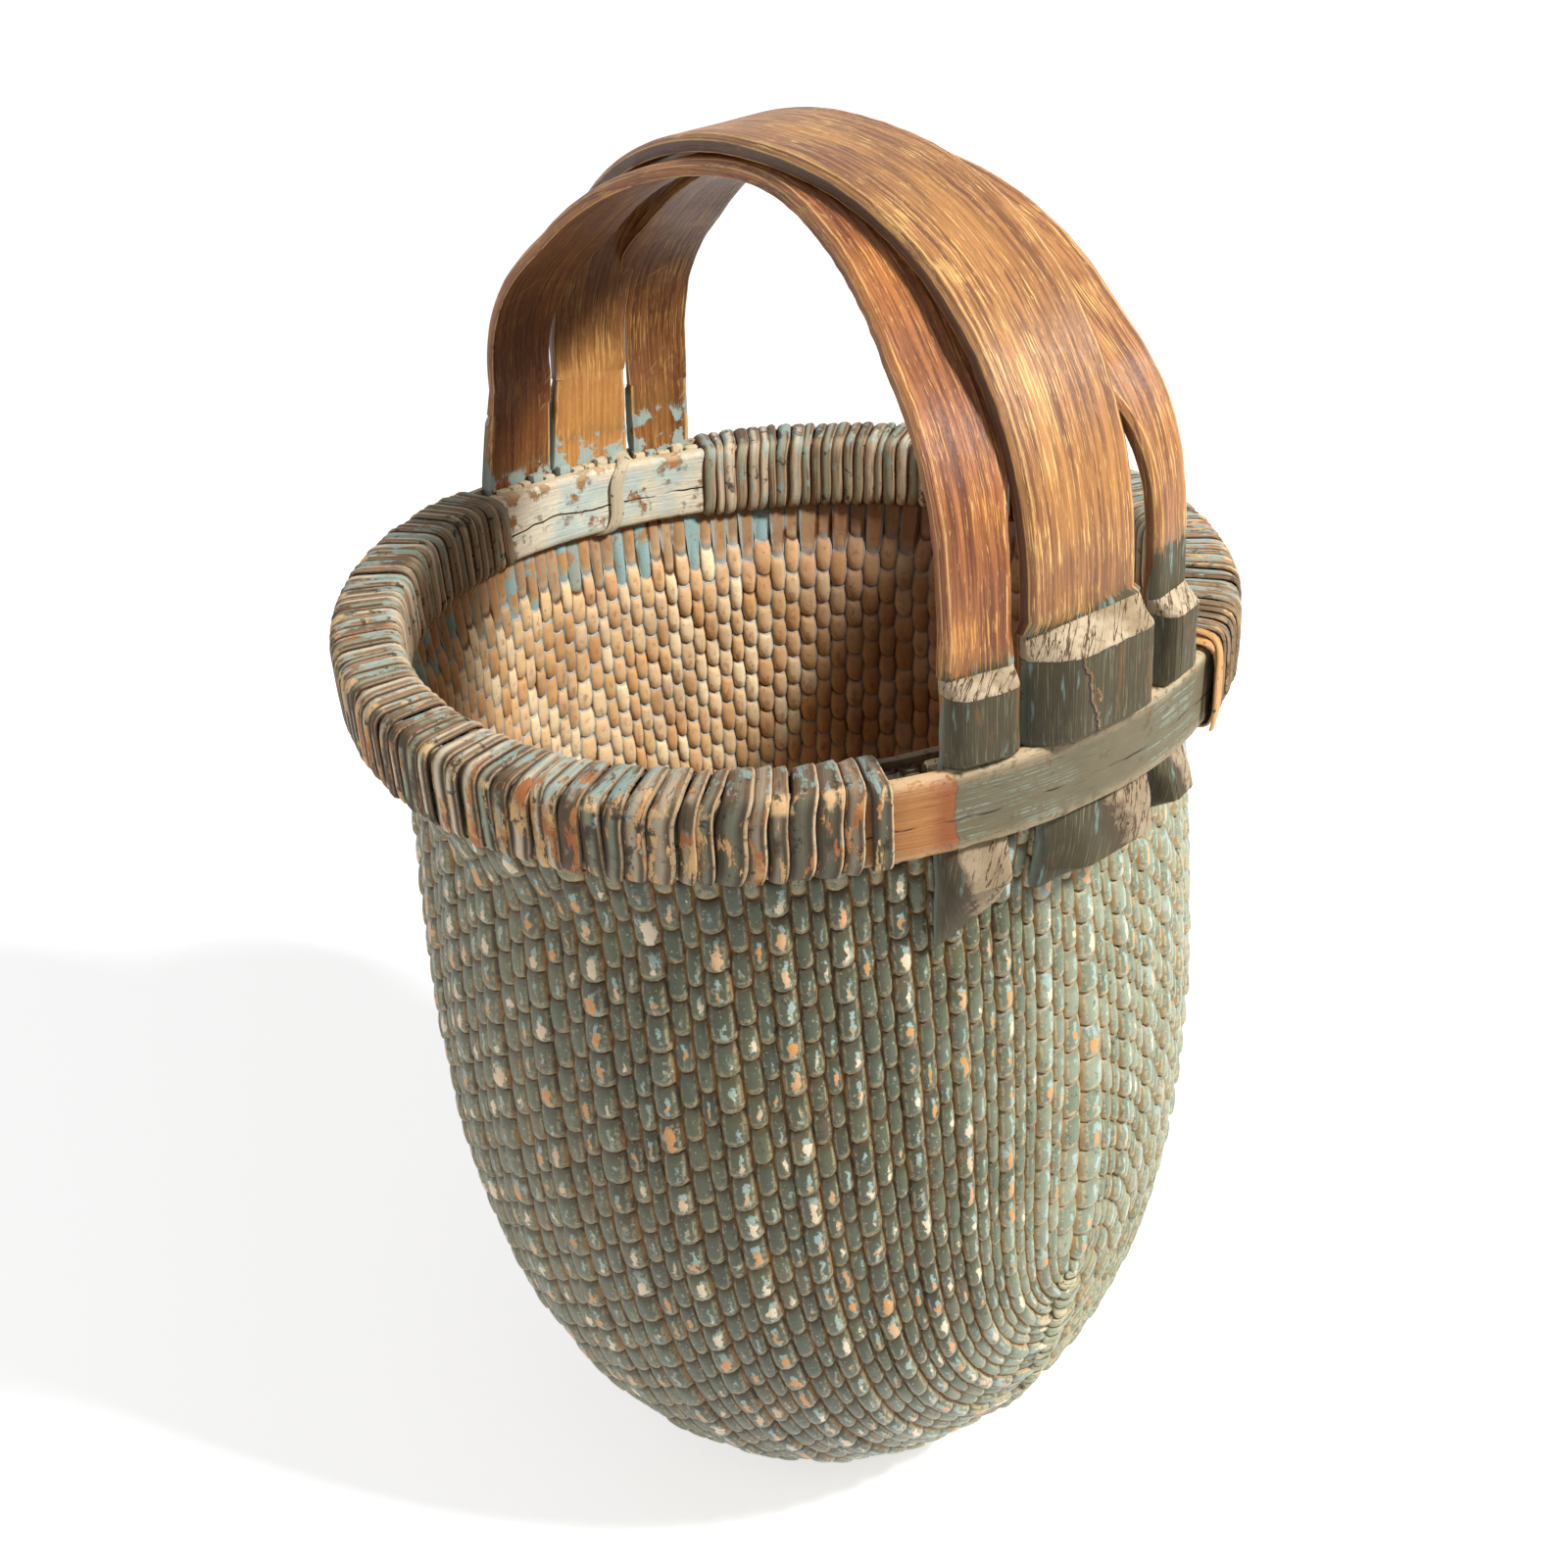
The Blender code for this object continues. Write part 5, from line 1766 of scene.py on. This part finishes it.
@dataclass(frozen=True)
class DarkCore(Finish):
    """Cords and rod sides in the depth of the weave."""

    def look(self, s: NodeSketch) -> Look:
        """Clouded brown."""
        cloud = s.noise(s.place(), 160, 4)
        return Look(s.mix(cloud, (66, 48, 30), (150, 116, 76)), cloud * 0.2 + 0.75, cloud, 0.001)


@dataclass(frozen=True)
class SplitCane(Finish):
    """The rim's cane, each turn its own: olive, grey-brown or blue paint, cream crests, bare patches."""

    def look(self, s: NodeSketch) -> Look:
        """Long ragged patches that follow each turn, with painted shade in the gaps between turns and a pale
        edge.

        Args:
            s: sketch of the material's tree.

        Returns:
            What feeds the shader.
        """
        tone, hue, flat = s.mark("cane_tone"), s.mark("cane_hue"), s.mark("cane_flat")
        outer, up, side = s.mark("cane_out"), s.mark("cane_up"), s.mark("cane_side")
        along, across = s.mark("grain_along"), s.mark("grain_across")
        place = s.moved(s.place(), s.vector(tone * 3.0, hue * 5.0, tone * 7.0))
        grain = self.grain(s, 0.02, 0.0006)
        patch, fine = s.noise(place, 60, 4, 0.6), s.noise(place, 330, 5, 0.65)
        rub = s.noise(s.vector(along * 70.0, across * 260.0, hue * 40.0), 1.0, 5, 0.65)
        flake = s.noise(s.vector(along * 90.0, across * 200.0, tone * 50.0), 1.0, 5, 0.65)
        zone = s.noise(s.place(), 22, 3)
        over, inner = s.mix(tone, (84, 62, 44), (146, 120, 92)), s.mix(tone, (150, 124, 94), (212, 184, 150))
        color = s.mix(outer.step(-0.2, -0.7), over, inner)
        color = s.mix(outer.step(0.3, 0.75), color, s.mix(tone, (54, 47, 32), (98, 82, 56)))
        color = s.mix(grain["Streaks"].step(0.5, 0.62) * 0.7, color, (52, 40, 28))
        # Painted highlight: sage or cream along the crest of the round turns, in patches.
        crest = abs(side).step(0.6, 0.1) * (patch + hue * 0.25).step(0.46, 0.6) * (1.0 - flat * 0.75)
        color = s.mix(crest * 0.9, color, s.mix(tone.step(0.35, 0.55), (158, 162, 136), (226, 208, 180)))
        blue = (flake + zone * 0.45 + hue * 0.06 + up * 0.10 - outer * 0.04).step(0.87, 0.93)
        color = s.mix(blue * grain["Pores"].step(0.34, 0.5) * 0.8, color, (152, 178, 170))
        bare = (rub + zone * 0.3 + tone * 0.08 + outer * 0.08).step(0.80, 0.84) * fine.step(0.3, 0.4)
        color = s.mix(bare, color, s.mix(patch.step(0.4, 0.6), (170, 104, 56), (220, 176, 118)))
        corner = (s.most(outer, 0.0) * up).step(0.26, 0.42) * (patch + rub * 0.5).step(0.76, 0.86)
        color = s.mix(corner, color, (222, 184, 134))
        edge = side.step(0.7, 0.88) * fine.step(0.3, 0.5)
        color = s.mix(edge * 0.8, color, s.mix(hue, (176, 142, 102), (212, 184, 146)))
        # Painted shade: the sunken sides of each turn, in the gaps between turns, darkest on the outer face.
        gap = s.most(side.step(-0.66, -0.92), side.step(0.8, 0.97) * (1.0 - flat))
        color = s.mix(gap, color, s.mix(outer.step(0.2, -0.4), (50, 35, 23), (88, 66, 46)))
        color = s.mix(s.noise(place, 120, 5, 0.7).step(0.58, 0.66) * 0.85, color, (38, 29, 20))
        return Look(color, fine * 0.3 + 0.42, grain["Height"] + fine * 0.4 - bare * 0.5, 0.0006, 0.8)


class HoopPaint(Enum):
    """The two painted hoops: dark and light paint, streak colour, wear."""

    OLIVE = ((92, 86, 64), (124, 114, 88), (138, 156, 140), 0.22)
    PALE = ((222, 208, 176), (255, 243, 216), (174, 202, 198), 0.36)


@dataclass(frozen=True)
class PaintedHoop(Finish):
    """Bent wood with worn paint, a crack, and its own bare or dark stretch."""

    paint: HoopPaint = HoopPaint.OLIVE

    def look(self, s: NodeSketch) -> Look:
        """Streaked paint over red-brown wood, its stretches placed by angle round the rim.

        Args:
            s: sketch of the material's tree.

        Returns:
            What feeds the shader.
        """
        dark, light, blue, wear = self.paint.value
        place = s.place()
        grain = self.grain(s, 0.06, 0.0011)
        cloud, fine = s.noise(place, 26, 4), s.noise(place, 300, 5, 0.65)
        color = s.mix(cloud, dark, light)
        color = s.mix(grain["Pores"].step(0.5, 0.4) * 0.4, color, (104, 86, 62))
        streak = grain["Streaks"].step(0.5, 0.62) * s.noise(place, 40, 4).step(0.44, 0.54)
        color = s.mix(streak * fine.step(0.38, 0.56) * 0.7, color, blue)
        chips = self.use(s, "chips", Wear=wear, Scale=75.0)
        angle = s.math("ARCTAN2", s.mark("hoop_sine"), s.mark("hoop_cosine")) + s.noise(place, 120, 5) * 0.03
        wood = s.mix(grain["Streaks"], (134, 78, 38), (204, 146, 86))
        edge = s.mark("hoop_edge") * fine.step(0.35, 0.5) * 0.75
        bare = chips["Bare"]
        if self.paint is HoopPaint.OLIVE:
            bare = s.most(bare, angle.step(-0.49, -0.48) * angle.step(-0.295, -0.302))
            red = (angle + cloud * 0.06).step(-0.34, -0.29) * 0.75
            wood = s.mix(red, wood, s.mix(grain["Pores"], (92, 44, 22), (168, 88, 44)))
        else:
            away = abs(angle).step(2.2, 1.7)
            color = s.mix(s.noise(place, 17, 4).step(0.5, 0.6) * 0.6, color, blue)
            color = s.mix(away, color, s.mix(grain["Streaks"], (48, 32, 20), (96, 66, 40)))
            bare = bare * (1.0 - away)
            edge = edge * (1.0 - away * 0.8)
        color = s.mix(bare, color, wood)
        color = s.mix(edge, color, (212, 184, 144))
        color = s.mix(chips["Rim"] * 0.4, color, (60, 48, 34))
        sway = s.noise(s.vector(s.mark("grain_along") * 20.0, 0.0, 0.0), 1.0, 3) * 0.012 - 0.008
        crack = abs(s.mark("grain_across") - sway).step(0.0005, 0.0002) * cloud.step(0.42, 0.5)
        cracks = s.most(crack, grain["Pores"].step(0.66, 0.72) * fine.step(0.4, 0.6))
        color = s.mix(cracks, color, (46, 32, 20))
        return Look(color, cloud * 0.3 + 0.42, grain["Height"] - cracks * 1.2 - bare * 0.4, 0.0007, 0.8)


@dataclass(frozen=True)
class WornBentwood(Finish):
    """Handle wood: golden brown and streaky, with painted notched ends and pale cut faces."""

    def look(self, s: NodeSketch) -> Look:
        """Bare wood above, ragged olive paint on the ends, and pale cracked facets over it.

        Args:
            s: sketch of the material's tree.

        Returns:
            What feeds the shader.
        """
        place = s.place()
        tone, inside, rise = s.mark("strip_tone"), s.mark("strip_inside"), s.mark("strip_rise")
        along, across = s.mark("grain_along"), s.mark("grain_across")
        grain, thin = self.grain(s, 0.07, 0.0016), self.grain(s, 0.022, 0.0007)
        speck = self.grain(s, 0.008, 0.0005)["Streaks"].step(0.6, 0.67)
        cloud, fine = s.noise(place, 22, 4), s.noise(place, 350, 5, 0.65)
        dark, light = s.mix(tone, (98, 52, 28), (114, 72, 38)), s.mix(tone, (174, 108, 60), (182, 130, 74))
        color = s.mix(grain["Streaks"].step(0.38, 0.64), dark, light)
        color = s.mix(cloud.step(0.42, 0.7) * 0.5, color, s.mix(tone, (118, 64, 36), (134, 88, 48)))
        zone = s.noise(s.vector(along * 14.0, across * 60.0, tone * 4.0), 1.0, 4)
        color = s.mix(zone.step(0.5, 0.64) * 0.36, color, s.mix(tone, (196, 128, 64), (202, 148, 82)))
        gold = thin["Streaks"] + s.noise(place, 34, 4, 0.6) * 0.55
        color = s.mix(gold.step(0.86, 0.92) * 0.8, color, s.mix(tone, (222, 160, 80), (238, 196, 122)))
        color = s.mix(speck * 0.65, color, (234, 190, 122))
        color = s.mix(thin["Pores"].step(0.36, 0.3) * 0.75, color, (66, 34, 16))
        slanted = s.vector((along + across) * 420.0, (along - across) * 24.0, 0.0)
        scratch = s.noise(slanted, 1.0, 2).step(0.64, 0.7)
        low = tone.step(0.6, 0.65) * rise.step(0.085, 0.045) * inside
        # Painted shade: inner faces of the strips darker, less so low on the middle strip's feet.
        color = s.mix(inside * 0.35 - low * 0.35, color, (92, 52, 28))
        # Painted light: the low inner faces of the middle strip's feet made golden, as if lit.
        color = s.mix(low * 0.4, color, (236, 168, 92))
        color = s.mix(scratch * inside * cloud.step(0.4, 0.55) * 0.55, color, (214, 160, 98))
        color = s.mix(s.mark("strip_shade") * fine.step(0.1, 0.4), color, (62, 34, 18))
        edge = s.mark("strip_edge").step(0.35, 0.9) * (thin["Streaks"] + fine * 0.3).step(0.52, 0.64)
        color = s.mix(edge * 0.85, color, (226, 180, 112))

        over = rise + s.noise(place, 110, 5, 0.6) * 0.014 + thin["Streaks"] * 0.012 - 0.013
        over = over - s.mark("strip_paint") + inside * 0.031
        painted = over.step(0.0035, 0.0)
        chips = self.use(s, "chips", Wear=inside * 0.40 + 0.14, Scale=85.0)
        drip = s.noise(s.vector(along * 30.0, across * 150.0, 3.0), 1.0, 4, 0.6)
        olive = s.mix(cloud, (40, 35, 20), (86, 76, 48))
        olive = s.mix(thin["Streaks"].step(0.54, 0.66) * 0.75, olive, (124, 118, 90))
        olive = s.mix(drip.step(0.42, 0.34) * 0.6, olive, (112, 78, 46))
        olive = s.mix(drip.step(0.58, 0.66) * 0.7, olive, (128, 160, 152))
        olive = s.mix(inside * 0.85, olive, (174, 190, 180))
        held = painted * (1.0 - chips["Bare"])
        color = s.mix(held, color, olive)
        color = s.mix(over.step(0.011, 0.0) * (1.0 - painted) * 0.4, color, (112, 98, 60))

        below = rise.step(0.0, -0.01)
        level = s.mark("strip_cut") + (s.noise(place, 130, 5, 0.6) - 0.5) * (0.9 - below * 0.5)
        level = level + below * tone.step(0.2, 0.0) * 0.16
        cut = level.step(0.44, 0.46)
        pale = s.mix(thin["Streaks"], (168, 148, 118), (222, 204, 176))
        pale = s.mix(cloud.step(0.45, 0.6), pale, (158, 138, 108))
        pale = s.mix(below * 0.55, pale, (128, 110, 84))
        pale = s.mix(fine.step(0.5, 0.64) * 0.55, pale, (132, 110, 82))
        upright = s.vector(across * 230.0, rise * 50.0, along * 12.0)
        lines = abs(s.noise(upright, 1.0, 4) - 0.5).step(0.018, 0.006)
        pale = s.mix(s.most(lines, thin["Pores"].step(0.38, 0.32)), pale, (92, 68, 46))
        color = s.mix(cut, color, pale)
        color = s.mix(abs(level - 0.42).step(0.12, 0.03) * 0.6, color, (66, 50, 34))

        bend = s.noise(s.vector(along * 90.0, 0.0, 0.0), 1.0, 4)
        beside = across - bend * 0.010 - 0.001 - (0.05 - rise) * 0.25
        on_block = s.mark("strip_block") * tone.step(0.6, 0.65) * rise.step(0.0, 0.01)
        on_block = on_block * rise.step(0.053, 0.047) * (1.0 - inside)
        chip = beside.step(-0.0002, 0.0004) * (beside + fine * 0.006).step(0.0052, 0.0038) * on_block
        color = s.mix(chip * 0.75, color, s.mix(fine.step(0.4, 0.6), (128, 92, 60), (190, 166, 132)))
        split = abs(beside).step(0.0007, 0.0002) * on_block
        color = s.mix(split, color, (26, 18, 10))
        carved = s.most(cut, chip) * (lines * 0.8 + 0.4)
        height = thin["Height"] * 0.5 + grain["Height"] + held * 0.3 - split * 1.5 - carved
        return Look(color, fine * 0.2 + held * 0.3 + cut * 0.3 + 0.3, height, 0.0007, 0.8, shine=0.42)


@dataclass(frozen=True)
class SeamCord(Finish):
    """The seam's flat twisted cord: cream and pale sage strands with brown between them."""

    def look(self, s: NodeSketch) -> Look:
        """Clouded strands, dark where they meet.

        Args:
            s: sketch of the material's tree.

        Returns:
            What feeds the shader.
        """
        grain = self.grain(s, 0.02, 0.0008)
        place = s.place()
        fine = s.noise(place, 320, 4)
        color = s.mix(s.noise(place, 60, 4).step(0.42, 0.58), (206, 192, 156), (152, 160, 132))
        color = s.mix(grain["Streaks"].step(0.5, 0.62) * 0.6, color, (120, 96, 64))
        color = s.mix(s.mark("cord_groove").step(0.6, 0.25), color, (60, 42, 26))
        color = s.mix(fine.step(0.6, 0.7), color, (88, 70, 46))
        return Look(color, fine * 0.25 + 0.5, grain["Height"], 0.0006, 0.8)


@dataclass(frozen=True)
class PlainRods(Finish):
    """Bare willow rods and cane: cream to grey-brown with fine streaks."""

    dark: tuple = (112, 80, 48)
    light: tuple = (186, 146, 98)

    def look(self, s: NodeSketch) -> Look:
        """Streaks between the two colours.

        Args:
            s: sketch of the material's tree.

        Returns:
            What feeds the shader.
        """
        grain, fine = self.grain(s, 0.03, 0.0009), s.noise(s.place(), 300, 4)
        color = s.mix(fine.step(0.6, 0.7), s.mix(grain["Streaks"], self.dark, self.light), (70, 50, 32))
        return Look(color, fine * 0.25 + 0.5, grain["Height"], 0.0006, 0.8)


# Studio


@dataclass(frozen=True)
class Studio:
    """Camera of the photograph, two lamps, pale floor and white surround.

    The key lamp stands high at the right behind the basket, and a weak fill lamp
    at the left in front of it.
    """

    rim_height: float = 0.4165
    turn_deg: float = 54.2229
    height_deg: float = 25.2618
    roll_deg: float = -3.606
    distance: float = 0.8417
    focal_pixels: float = 2077.66
    photo_pixels: float = 1600.0
    pitch_deg: float = 5.011
    yaw_deg: float = 0.4836
    sensor: float = 36.0
    key_place: tuple = (1.45, 0.80, 1.95)
    key_size: float = 0.3
    key_power: float = 78
    fill_place: tuple = (-0.6, -2.0, 1.1)
    fill_size: float = 1.6
    fill_power: float = 13
    lamp_aim: tuple = (0, 0, 0.3)
    floor_reach: float = 6.0
    floor_tone: float = 0.9
    near_glow: float = 0.6
    far_glow: float = 0.3
    surround: float = 0.24

    def direction(self, turn: float, height: float) -> Array:
        """Unit vector at a turn from the front and an angle above level."""
        flat = math.cos(height)
        return np.array([math.sin(turn) * flat, -math.cos(turn) * flat, math.sin(height)])

    def camera(self) -> Shape:
        """Camera at turn and height round the rim's middle, turned by pitch, yaw and roll.

        Returns:
            The camera, which is the scene's own.
        """
        turn, height = math.radians(self.turn_deg), math.radians(self.height_deg)
        place = self.distance * self.direction(turn, height) + np.array([0, 0, self.rim_height])
        aim = turn + math.radians(self.yaw_deg)
        back = self.direction(aim, height + math.radians(self.pitch_deg))
        right = np.array([math.cos(aim), math.sin(aim), 0.0])
        up = np.cross(back, right)
        roll = math.radians(self.roll_deg)
        x_axis = right * math.cos(roll) + up * math.sin(roll)
        y_axis = up * math.cos(roll) - right * math.sin(roll)
        data = bpy.data.cameras.new("photo_camera")
        data.sensor_width = self.sensor
        data.lens = self.focal_pixels / self.photo_pixels * data.sensor_width
        data.clip_start = 0.01
        shape = bpy.data.objects.new("photo_camera", data)
        axes = np.column_stack([x_axis, y_axis, back, place])
        shape.matrix_world = Matrix(np.vstack([axes, [0, 0, 0, 1]]).tolist())
        bpy.context.scene.collection.objects.link(shape)
        bpy.context.scene.camera = shape
        return shape

    def lamp(self, name: str, place: tuple, size: float, power: float) -> None:
        """A square soft lamp that looks at the basket.

        Args:
            name: the lamp's name.
            place: where it stands.
            size: length of its side.
            power: watts.
        """
        data = bpy.data.lights.new(name, "AREA")
        data.size, data.energy = size, power
        shape = bpy.data.objects.new(name, data)
        shape.location = place
        aim = Vector(self.lamp_aim) - Vector(place)
        shape.rotation_euler = aim.to_track_quat("-Z", "Y").to_euler()
        bpy.context.scene.collection.objects.link(shape)

    def floor(self) -> Shape:
        """A wide pale floor that keeps the basket's shadow and turns white for the camera elsewhere.

        Returns:
            The floor.
        """
        mesh = bpy.data.meshes.new("studio_floor")
        reach = self.floor_reach
        corners = [(x * reach, y * reach, 0) for x, y in ((-1, -1), (1, -1), (1, 1), (-1, 1))]
        mesh.from_pydata(corners, [], [(0, 1, 2, 3)])
        shape = bpy.data.objects.new("studio_floor", mesh)
        material = bpy.data.materials.new("studio_floor")
        material.use_nodes = True
        shader = material.node_tree.nodes["Principled BSDF"]
        shader.inputs["Base Color"].default_value = (*(self.floor_tone,) * 3, 1)
        shader.inputs["Roughness"].default_value = 0.9
        shader.inputs["Specular IOR Level"].default_value = 0.1
        shader.inputs["Emission Color"].default_value = (1, 1, 1, 1)
        sketch = NodeSketch(material.node_tree)
        x, y, _ = sketch.split(sketch.place())
        far = (x * x + y * y).step(1.0, 9.0) * self.far_glow
        sketch.feed(shader.inputs["Emission Strength"], self.seen(sketch) * (far + self.near_glow))
        mesh.materials.append(material)
        bpy.context.scene.collection.objects.link(shape)
        return shape

    def seen(self, sketch: NodeSketch) -> Value:
        """1 where a ray comes from the camera, a reflection or a see-through surface.

        Args:
            sketch: sketch of the tree.

        Returns:
            The mask.
        """
        path = sketch.node("ShaderNodeLightPath")
        mirrored = sketch.most(path.outputs["Is Glossy Ray"], path.outputs["Is Transmission Ray"])
        return sketch.most(path.outputs["Is Camera Ray"], mirrored)

    def world(self) -> None:
        """Even grey light all round, seen as white by the camera and in reflections."""
        world = bpy.data.worlds.new("studio_world")
        bpy.context.scene.world = world
        world.use_nodes = True
        s = NodeSketch(world.node_tree)
        background = world.node_tree.nodes["Background"]
        background.inputs["Color"].default_value = (1, 1, 1, 1)
        s.feed(background.inputs["Strength"], s.most(self.seen(s), self.surround))

    def build(self) -> None:
        """Sets up camera, lamps, floor and surround."""
        self.camera()
        self.lamp("key_lamp", self.key_place, self.key_size, self.key_power)
        self.lamp("fill_lamp", self.fill_place, self.fill_size, self.fill_power)
        self.floor()
        self.world()
        bpy.context.scene.view_settings.view_transform = "Standard"


# The whole basket


def main() -> None:
    """Builds every piece in order and reports it."""
    logging.basicConfig(level=logging.INFO, format="%(name)s %(message)s")
    groups = {"grain": grain_group(), "chips": chip_group(), "bead": bead_group()}
    rim = Rim()
    shape = BodyShape(rim)
    table = shape.table()

    weave = Weave(rim)
    weave.core(table, DarkCore("dark_core", groups).build())
    weave.panels(Side.OUTSIDE, table, PaintedWillow("painted_willow", groups).build())
    weave.panels(Side.INSIDE, table, BareWillow("bare_willow", groups).build())
    rods = PlainRods("padding_rods", groups).build()
    weave.seam(table, SeamCord("seam_cord", groups).build())

    cane = SplitCane("rim_cane", groups).build()
    PaddingRods("padding_rods_front", "rim_padding_front", rim, -30.0, -158.8).build(rods)
    PaddingRods("padding_rods_back", "rim_padding_back", rim, 21.4, 156.9).build(rods)
    Winding("binding_front", "rim_binding_front", rim, -29.0, -159.8, 62, 11, first_width=1.5).build(cane)
    Winding("binding_back", "rim_binding_back", rim, 20.4, 157.9, 76, 12).build(cane)
    wrap = SingleWrap("end_wrap_cane", ("end_wrap",), rim, -26.5, -27.2, 0.0072, -80, 262, 0.0004, 0.3, 0.9)
    wrap.build(cane)
    pale_cane = PlainRods("tie_cane", groups, (172, 152, 120), (228, 214, 184)).build()
    tie = SingleWrap("hoop_tie_cane", ("hoop_tie",), rim, 171.4, 178.6, 0.0080, 82, 262, 0.0, 0.9, 0.2)
    tie.build(pale_cane)
    bare_cane = PlainRods("bare_cane", groups, (160, 100, 50), (232, 184, 120)).build()
    loose = ((19.2, 22.4, 0.0030, 0.0030), (21.2, 19.4, 0.0034, 0.0018), (22.6, 21.0, 0.0026, 0.0010))
    for number, (first, last, width, swell) in enumerate(loose, 1):
        name = f"loose_strip_{number}"
        strip = SingleWrap(name, ("rim_binding_back",), rim, first, last, width, -24, 128, swell)
        strip.build(bare_cane)
    RodEnds(rim).build(RodTops("rod_tops", groups).build())

    far = rim.pack / 2
    near = far - rim.hoop_thickness
    faded = PaintedHoop("faded_hoop", groups, HoopPaint.PALE).build()
    olive = PaintedHoop("painted_hoop", groups, HoopPaint.OLIVE).build()
    BentHoop("inner_hoop_band", "faded_hoop", rim, -far, -near, False, 21).build(faded)
    BentHoop("outer_hoop_band", "painted_hoop", rim, near, far, True, 22).build(olive)

    wood = WornBentwood("handle_wood", groups).build()
    arch = Arch()
    thin, gap = 0.0060, 0.0023
    side_drop = thin + gap
    strips = (
        HandleStrip(
            "handle_strip_middle", rim, shape, arch,
            StripEnd(-0.7, -0.7, 1.9, 0.0485, 0.0485, 0.0125, 0.0045),
            StripEnd(175.3, 177.2, 177.2, 0.0365, 0.0420, 0.0100, 0.0045),
            crown_width=0.0490, crown_offset=0.0, crown_blend=0.8, thickness=0.0070, drop=0.0,
            back_rise=0.0575, front_rise=0.0495, block_depth=0.0168, lower_depth=0.0175,
            lower_drop=0.0380, tip_drop=0.0465, tip_slant=0.0040, tip_thickness=0.0060, seed=31, tone=0.7,
            side_shade=0.85,
        ),
        HandleStrip(
            "handle_strip_front", rim, shape, arch,
            StripEnd(-14.3, -14.3, -15.2, 0.0262, 0.0262, 0.0050, 0.0025),
            StripEnd(188.8, 191.7, 191.7, 0.0330, 0.0380, 0.0150, 0.0025),
            crown_width=0.0165, crown_offset=-0.0192, crown_blend=0.15, thickness=thin, drop=side_drop,
            back_rise=0.0490, front_rise=0.0440, block_depth=0.0128, lower_depth=0.0150,
            lower_drop=0.0320, tip_drop=0.0530, tip_slant=0.0120, tip_thickness=0.0035, seed=32, tone=0.0,
            tuck=0.010,
        ),
        HandleStrip(
            "handle_strip_back", rim, shape, arch,
            StripEnd(13.4, 13.4, 14.6, 0.0210, 0.0210, 0.0025, 0.0050),
            StripEnd(163.3, 164.0, 164.0, 0.0290, 0.0295, 0.0025, 0.0050),
            crown_width=0.0220, crown_offset=0.0300, crown_blend=0.15, thickness=thin, drop=side_drop,
            back_rise=0.0490, front_rise=0.0440, block_depth=0.0140, lower_depth=0.0165,
            lower_drop=0.0330, tip_drop=0.0440, tip_slant=-0.0060, tip_thickness=0.0050, seed=33, tone=0.5,
            paint_above=0.016, tuck=-0.010, side_shade=0.3,
        ),
    )
    for strip in strips:
        strip.build(wood)

    Studio().build()


if __name__ == "__main__":
    main()
